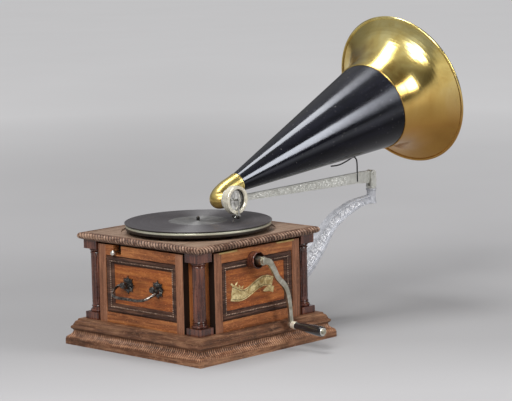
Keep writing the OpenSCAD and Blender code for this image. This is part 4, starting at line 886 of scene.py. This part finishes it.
def gilt_ribbon(look):
    """A plain waved ribbon with two border lines, folded under at its right end. It carries no
    words."""
    verts, faces = [], []
    middle = band(RIBBON, 1.0, verts, faces)
    band(RIBBON_FOLD, 0.7, verts, faces)
    leaves = Relief(on_crank_field(0.2, -0.15))
    for u, v, angle, length in RIBBON_LEAVES:
        leaves.leaf(u, v, angle, length, 5.0, 0.5, 0.5)
    leaves.add_to(verts, faces)
    sharpen(add_mesh("gilt_ribbon", verts, faces, look["gilt"], "case"), 45)
    lines = Relief(on_crank_field(0.62, -0.3))
    for k in (-RIBBON_BORDER, RIBBON_BORDER):
        lines.stem([(u, v + w * k) for u, v, w in middle[2:-2]], 0.5, 0.42)
    add_mesh("ribbon_lines", lines.verts, lines.faces, look["gilt_dark"], "case")


def rosette_leaves(look):
    """Cast leaves over the two rosettes of the handle, in two rings."""
    stand = 2.3                         # height of the leaves above the field
    # number, first angle in steps, ring radius, then a leaf's length, width and height
    rings = ((16, 0.5, 9, 7.6, 3.6, 1.1), (10, 0.0, 6.4, 6.5, 4.2, 2.4))
    verts, faces = [], []
    for side in (-1, 1):
        def place(u, v, h, side=side):
            return (-(FIELD_FACE + stand + h), side * ROSETTE_Y + u, ROSETTE_Z + v)
        leaves = Relief(place)
        for count, start, r, length, width, height in rings:
            for k in range(count):
                a = 2 * math.pi * (k + start) / count
                leaves.leaf(r * math.cos(a), r * math.sin(a), a, length, width, height)
        leaves.add_to(verts, faces)
    add_mesh("rosette_leaves", verts, faces, look["bronze"], "case")


# ---------------------------------------------------------------- elbow and small fittings
# Middle line and radius of the elbow from the cone to the sound box, as (x, y, z, radius);
# the first four are the rolled edge on the cone
ELBOW_PATH = [(92.5, -25, 321.3, 20.9), (90.6, -25, 320.8, 21.3), (88.6, -25, 320.2, 20.9),
              (87.5, -25, 319.9, 20.3), (74, -25, 315.6, 20.0), (58, -25, 309.6, 19.8),
              (41, -26.5, 301.6, 19.2), (28, -32, 295.4, 18.2), (22.6, -40, 293.2, 17.2),
              (26.0, -48.5, 294.2, 16.6), (30.6, -54.5, 296.0, 16.1), (32, -59.5, 296.6, 15.9),
              (32, -66, 296.6, 15.9)]
ELBOW_WALL = 1.2


def elbow(look):
    """The bent brass elbow: a full bend, an outer and an inner skin joined at both ends."""
    line = spline(ELBOW_PATH, 4)
    centres = [Vector(p[:3]) for p in line]
    n, m = 48, len(line)
    verts = []
    for wall in (0.0, ELBOW_WALL):
        for i, (centre, point) in enumerate(zip(centres, line)):
            before, after = neighbours(centres, i)
            way = (after - before).normalized()
            side = way.cross(Vector((0, 0, 1))).normalized()
            top = side.cross(way).normalized()
            for k in range(n):
                a = 2 * math.pi * k / n
                spoke = side * math.cos(a) + top * math.sin(a)
                verts.append(tuple(centre + spoke * (point[3] - wall)))
    faces = tube_faces(0, m, n) + tube_faces(m * n, m, n)
    for i in (0, m - 1):
        for k in range(n):
            a, b = i * n + k, i * n + (k + 1) % n
            faces.append((a, b, b + m * n, a + m * n))
    obj = add_mesh("elbow_shell", verts, faces, look["brass_elbow"], "arm")
    sharpen(obj, 50)
    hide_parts("horn_elbow")


def grip_trim(look):
    """The ferrule and the cap on the crank's grip, which droops a little."""
    cos, sin = math.cos(GRIP_DROOP), math.sin(GRIP_DROOP)

    def place(x, y, h):
        return (GRIP_X + x, GRIP_Y - h * cos - y * sin, GRIP_Z - h * sin + y * cos)
    ferrule = [(5.0, 6.2), (7.9, 6.2), (8.2, 8.0), (7.9, 16.0), (7.0, 16.6), (5.0, 16.6)]
    cap = [(6.0, 87.0), (9.4, 87.0), (9.6, 89.4), (8.4, 91.4), (5.0, 91.8)]
    turned("grip_ferrule", ferrule, place, look["ring"], "crank_grip")
    turned("grip_cap", cap, place, look["nickel"], "crank_grip")


def rosette_knobs(look):
    """A domed knob on a short neck over each rosette's eye."""
    profile = [(7.2, 4.4), (6.2, 5.6), (5.7, 7.2)] + arc(0, 13, 7.7, -42, 88, 12)
    for i, way in enumerate((-1, 1)):
        def place(x, y, h, way=way):
            return (-(FIELD_FACE + h), way * ROSETTE_Y + x, ROSETTE_Z + y)
        turned("rosette_knob_%d" % (i + 1), profile, place, look["bronze"], "case", 32)


def sound_box_screws(look):
    """The two pivot screws of the needle bar, and four small screws in the ring."""
    pivot = [(0.9, 0.0), (0.9, 2.2), (2.1, 2.4), (2.5, 2.9), (2.5, 5.2), (2.0, 5.9), (0.5, 6.1)]
    for i, way in enumerate((-1, 1)):
        def beside(x, y, h, way=way):
            return (PIVOT_X + way * (6.2 + h), PIVOT_Y + x, PIVOT_Z + y)
        turned("pivot_screw_%d" % (i + 1), pivot, beside, look["black_steel"], "sound_box",
               20)
    head = [(1.4, -0.6), (1.4, 0.25), (1.1, 0.55), (0.4, 0.65)]
    for i in range(4):
        a = math.radians(45 + 90 * i)
        cx, cz = BOX_X + RING_SCREWS_R * math.cos(a), BOX_Z + RING_SCREWS_R * math.sin(a)

        def front(x, y, h, cx=cx, cz=cz):
            return (cx + x, BOX_FRONT - h, cz + y)
        turned("ring_screw_%d" % (i + 1), head, front, look["nickel"], "sound_box", 16)


# ---------------------------------------------------------------- set
def floor_and_backdrop():
    """One large sheet of pale paper. To the camera and in reflections it glows a little with
    distance, so that it runs into a plain backdrop."""
    half = 60.0
    mesh = bpy.data.meshes.new("floor")
    corners = [(-half, -half, 0), (half, -half, 0), (half, half, 0), (-half, half, 0)]
    mesh.from_pydata(corners, [], [(0, 1, 2, 3)])
    floor = bpy.data.objects.new("floor", mesh)
    bpy.context.scene.collection.objects.link(floor)
    k = Look("floor_paper")
    ray = k.node("LightPath").outputs
    mirrored = k.math("MAXIMUM", ray["Is Glossy Ray"], ray["Is Transmission Ray"])
    seen = k.math("MAXIMUM", ray["Is Camera Ray"], mirrored)
    near, side = k.along(k.x, k.y, NEAR), k.along(k.x, k.y, RIGHT)
    # painted shade: the paper is a little darker round the object, and a painted shadow lies in one
    # soft patch behind it
    tone = k.ramp(k.step(near, -2.0, 0.7), [(0.0, 1.0), (0.30, 0.98), (0.52, 0.82), (0.76, 0.80),
                                            (0.93, 1.0)])
    from_shadow_patch = k.length(k.mul(k.add(near, 3.4), 0.42), k.mul(k.add(side, 0.2), 1.7))
    shadow_patch = k.step(from_shadow_patch, 1.5, 0.2)
    tone = k.mix(k.mul(shadow_patch, 0.10), tone, (0.05, 0.03, 0.02))
    glow = k.mul(k.step(k.length(k.x, k.y), 0.8, 4.6), seen)
    glow = k.mul(glow, k.sub(1.0, k.mul(shadow_patch, 0.09)))
    paper = k.ramp(k.noise(k.co, 1.5, detail=2.0), [(0.3, (0.395, 0.39, 0.395)),
                                                    (0.7, (0.415, 0.41, 0.415))])
    k.set(Base_Color=k.mix(1.0, paper, tone, "MULTIPLY"), Roughness=0.9,
          Emission_Color=(1.0, 0.995, 1.0), Emission_Strength=k.mul(glow, 0.385))
    mesh.materials.append(k.mat)


def room():
    """A grey room, paler overhead. What the gloss reflects is brighter on the left of the room
    and dark on the right."""
    world = bpy.data.worlds.new("studio")
    world.use_nodes = True
    w = Nodes(world.node_tree)
    plain_strength = 0.8
    x, y, z = w.node("SeparateXYZ", {0: w.node("TexCoord").outputs["Generated"]}).outputs
    sky = w.ramp(z, [(0.0, (0.13, 0.13, 0.135)), (0.22, (0.19, 0.19, 0.19 * 1.02)),
                     (0.55, (0.40, 0.40, 0.40 * 1.02)), (1.0, (0.62, 0.62, 0.64))])
    in_gloss = w.add(0.62, w.mul(w.along(x, y, LEFT), 0.62))
    gloss = w.node("LightPath").outputs["Is Glossy Ray"]
    strength = w.add(plain_strength, w.mul(gloss, w.sub(in_gloss, plain_strength)))
    background = world.node_tree.nodes["Background"]
    w.put(background.inputs["Color"], sky)
    w.put(background.inputs["Strength"], strength)
    bpy.context.scene.world = world


def lamp(name, place, aim, size, power):
    """A soft rectangular lamp, its size in metres and its power in watts."""
    light = bpy.data.lights.new(name, "AREA")
    light.shape = "RECTANGLE"
    light.size, light.size_y = size
    light.energy = power
    obj = bpy.data.objects.new(name, light)
    obj.location = place
    obj.rotation_euler = (Vector(aim) - Vector(place)).to_track_quat("-Z", "Y").to_euler()
    bpy.context.scene.collection.objects.link(obj)


def studio():
    floor_and_backdrop()
    room()
    lamp("key", place=(-2.4, -1.2, 2.6), aim=(0.1, 0, 0.25), size=(1.85, 1.85), power=106)
    lamp("side", place=(0.9, -2.8, 1.7), aim=(0.1, 0, 0.25), size=(0.8, 1.4), power=40)
    lamp("high", place=(0.2, 0.6, 3.0), aim=(0.1, 0, 0.2), size=(1.6, 1.0), power=40)


make_camera()
LOOK = make_looks()
dress(LOOK)
top_edge(LOOK)
plinth(LOOK)
panel_beads(LOOK)
scrolls("arm_scroll", ARM_PATH, ARM_WEB, LOOK["arm_leaf"], "arm", "nickel",
        amp=0.58, unit=21.0, thick=0.95, leaf=1.0)
scrolls("bracket_leaves", BRACKET_PATH, BRACKET_WEB, LOOK["silver"], "case", "silvered_iron",
        amp=0.5, unit=19.0, thick=1.5, leaf=0.8)
gilt_ribbon(LOOK)
rosette_leaves(LOOK)
elbow(LOOK)
grip_trim(LOOK)
rosette_knobs(LOOK)
sound_box_screws(LOOK)
studio()

scene = bpy.context.scene
scene.view_settings.view_transform = "Standard"
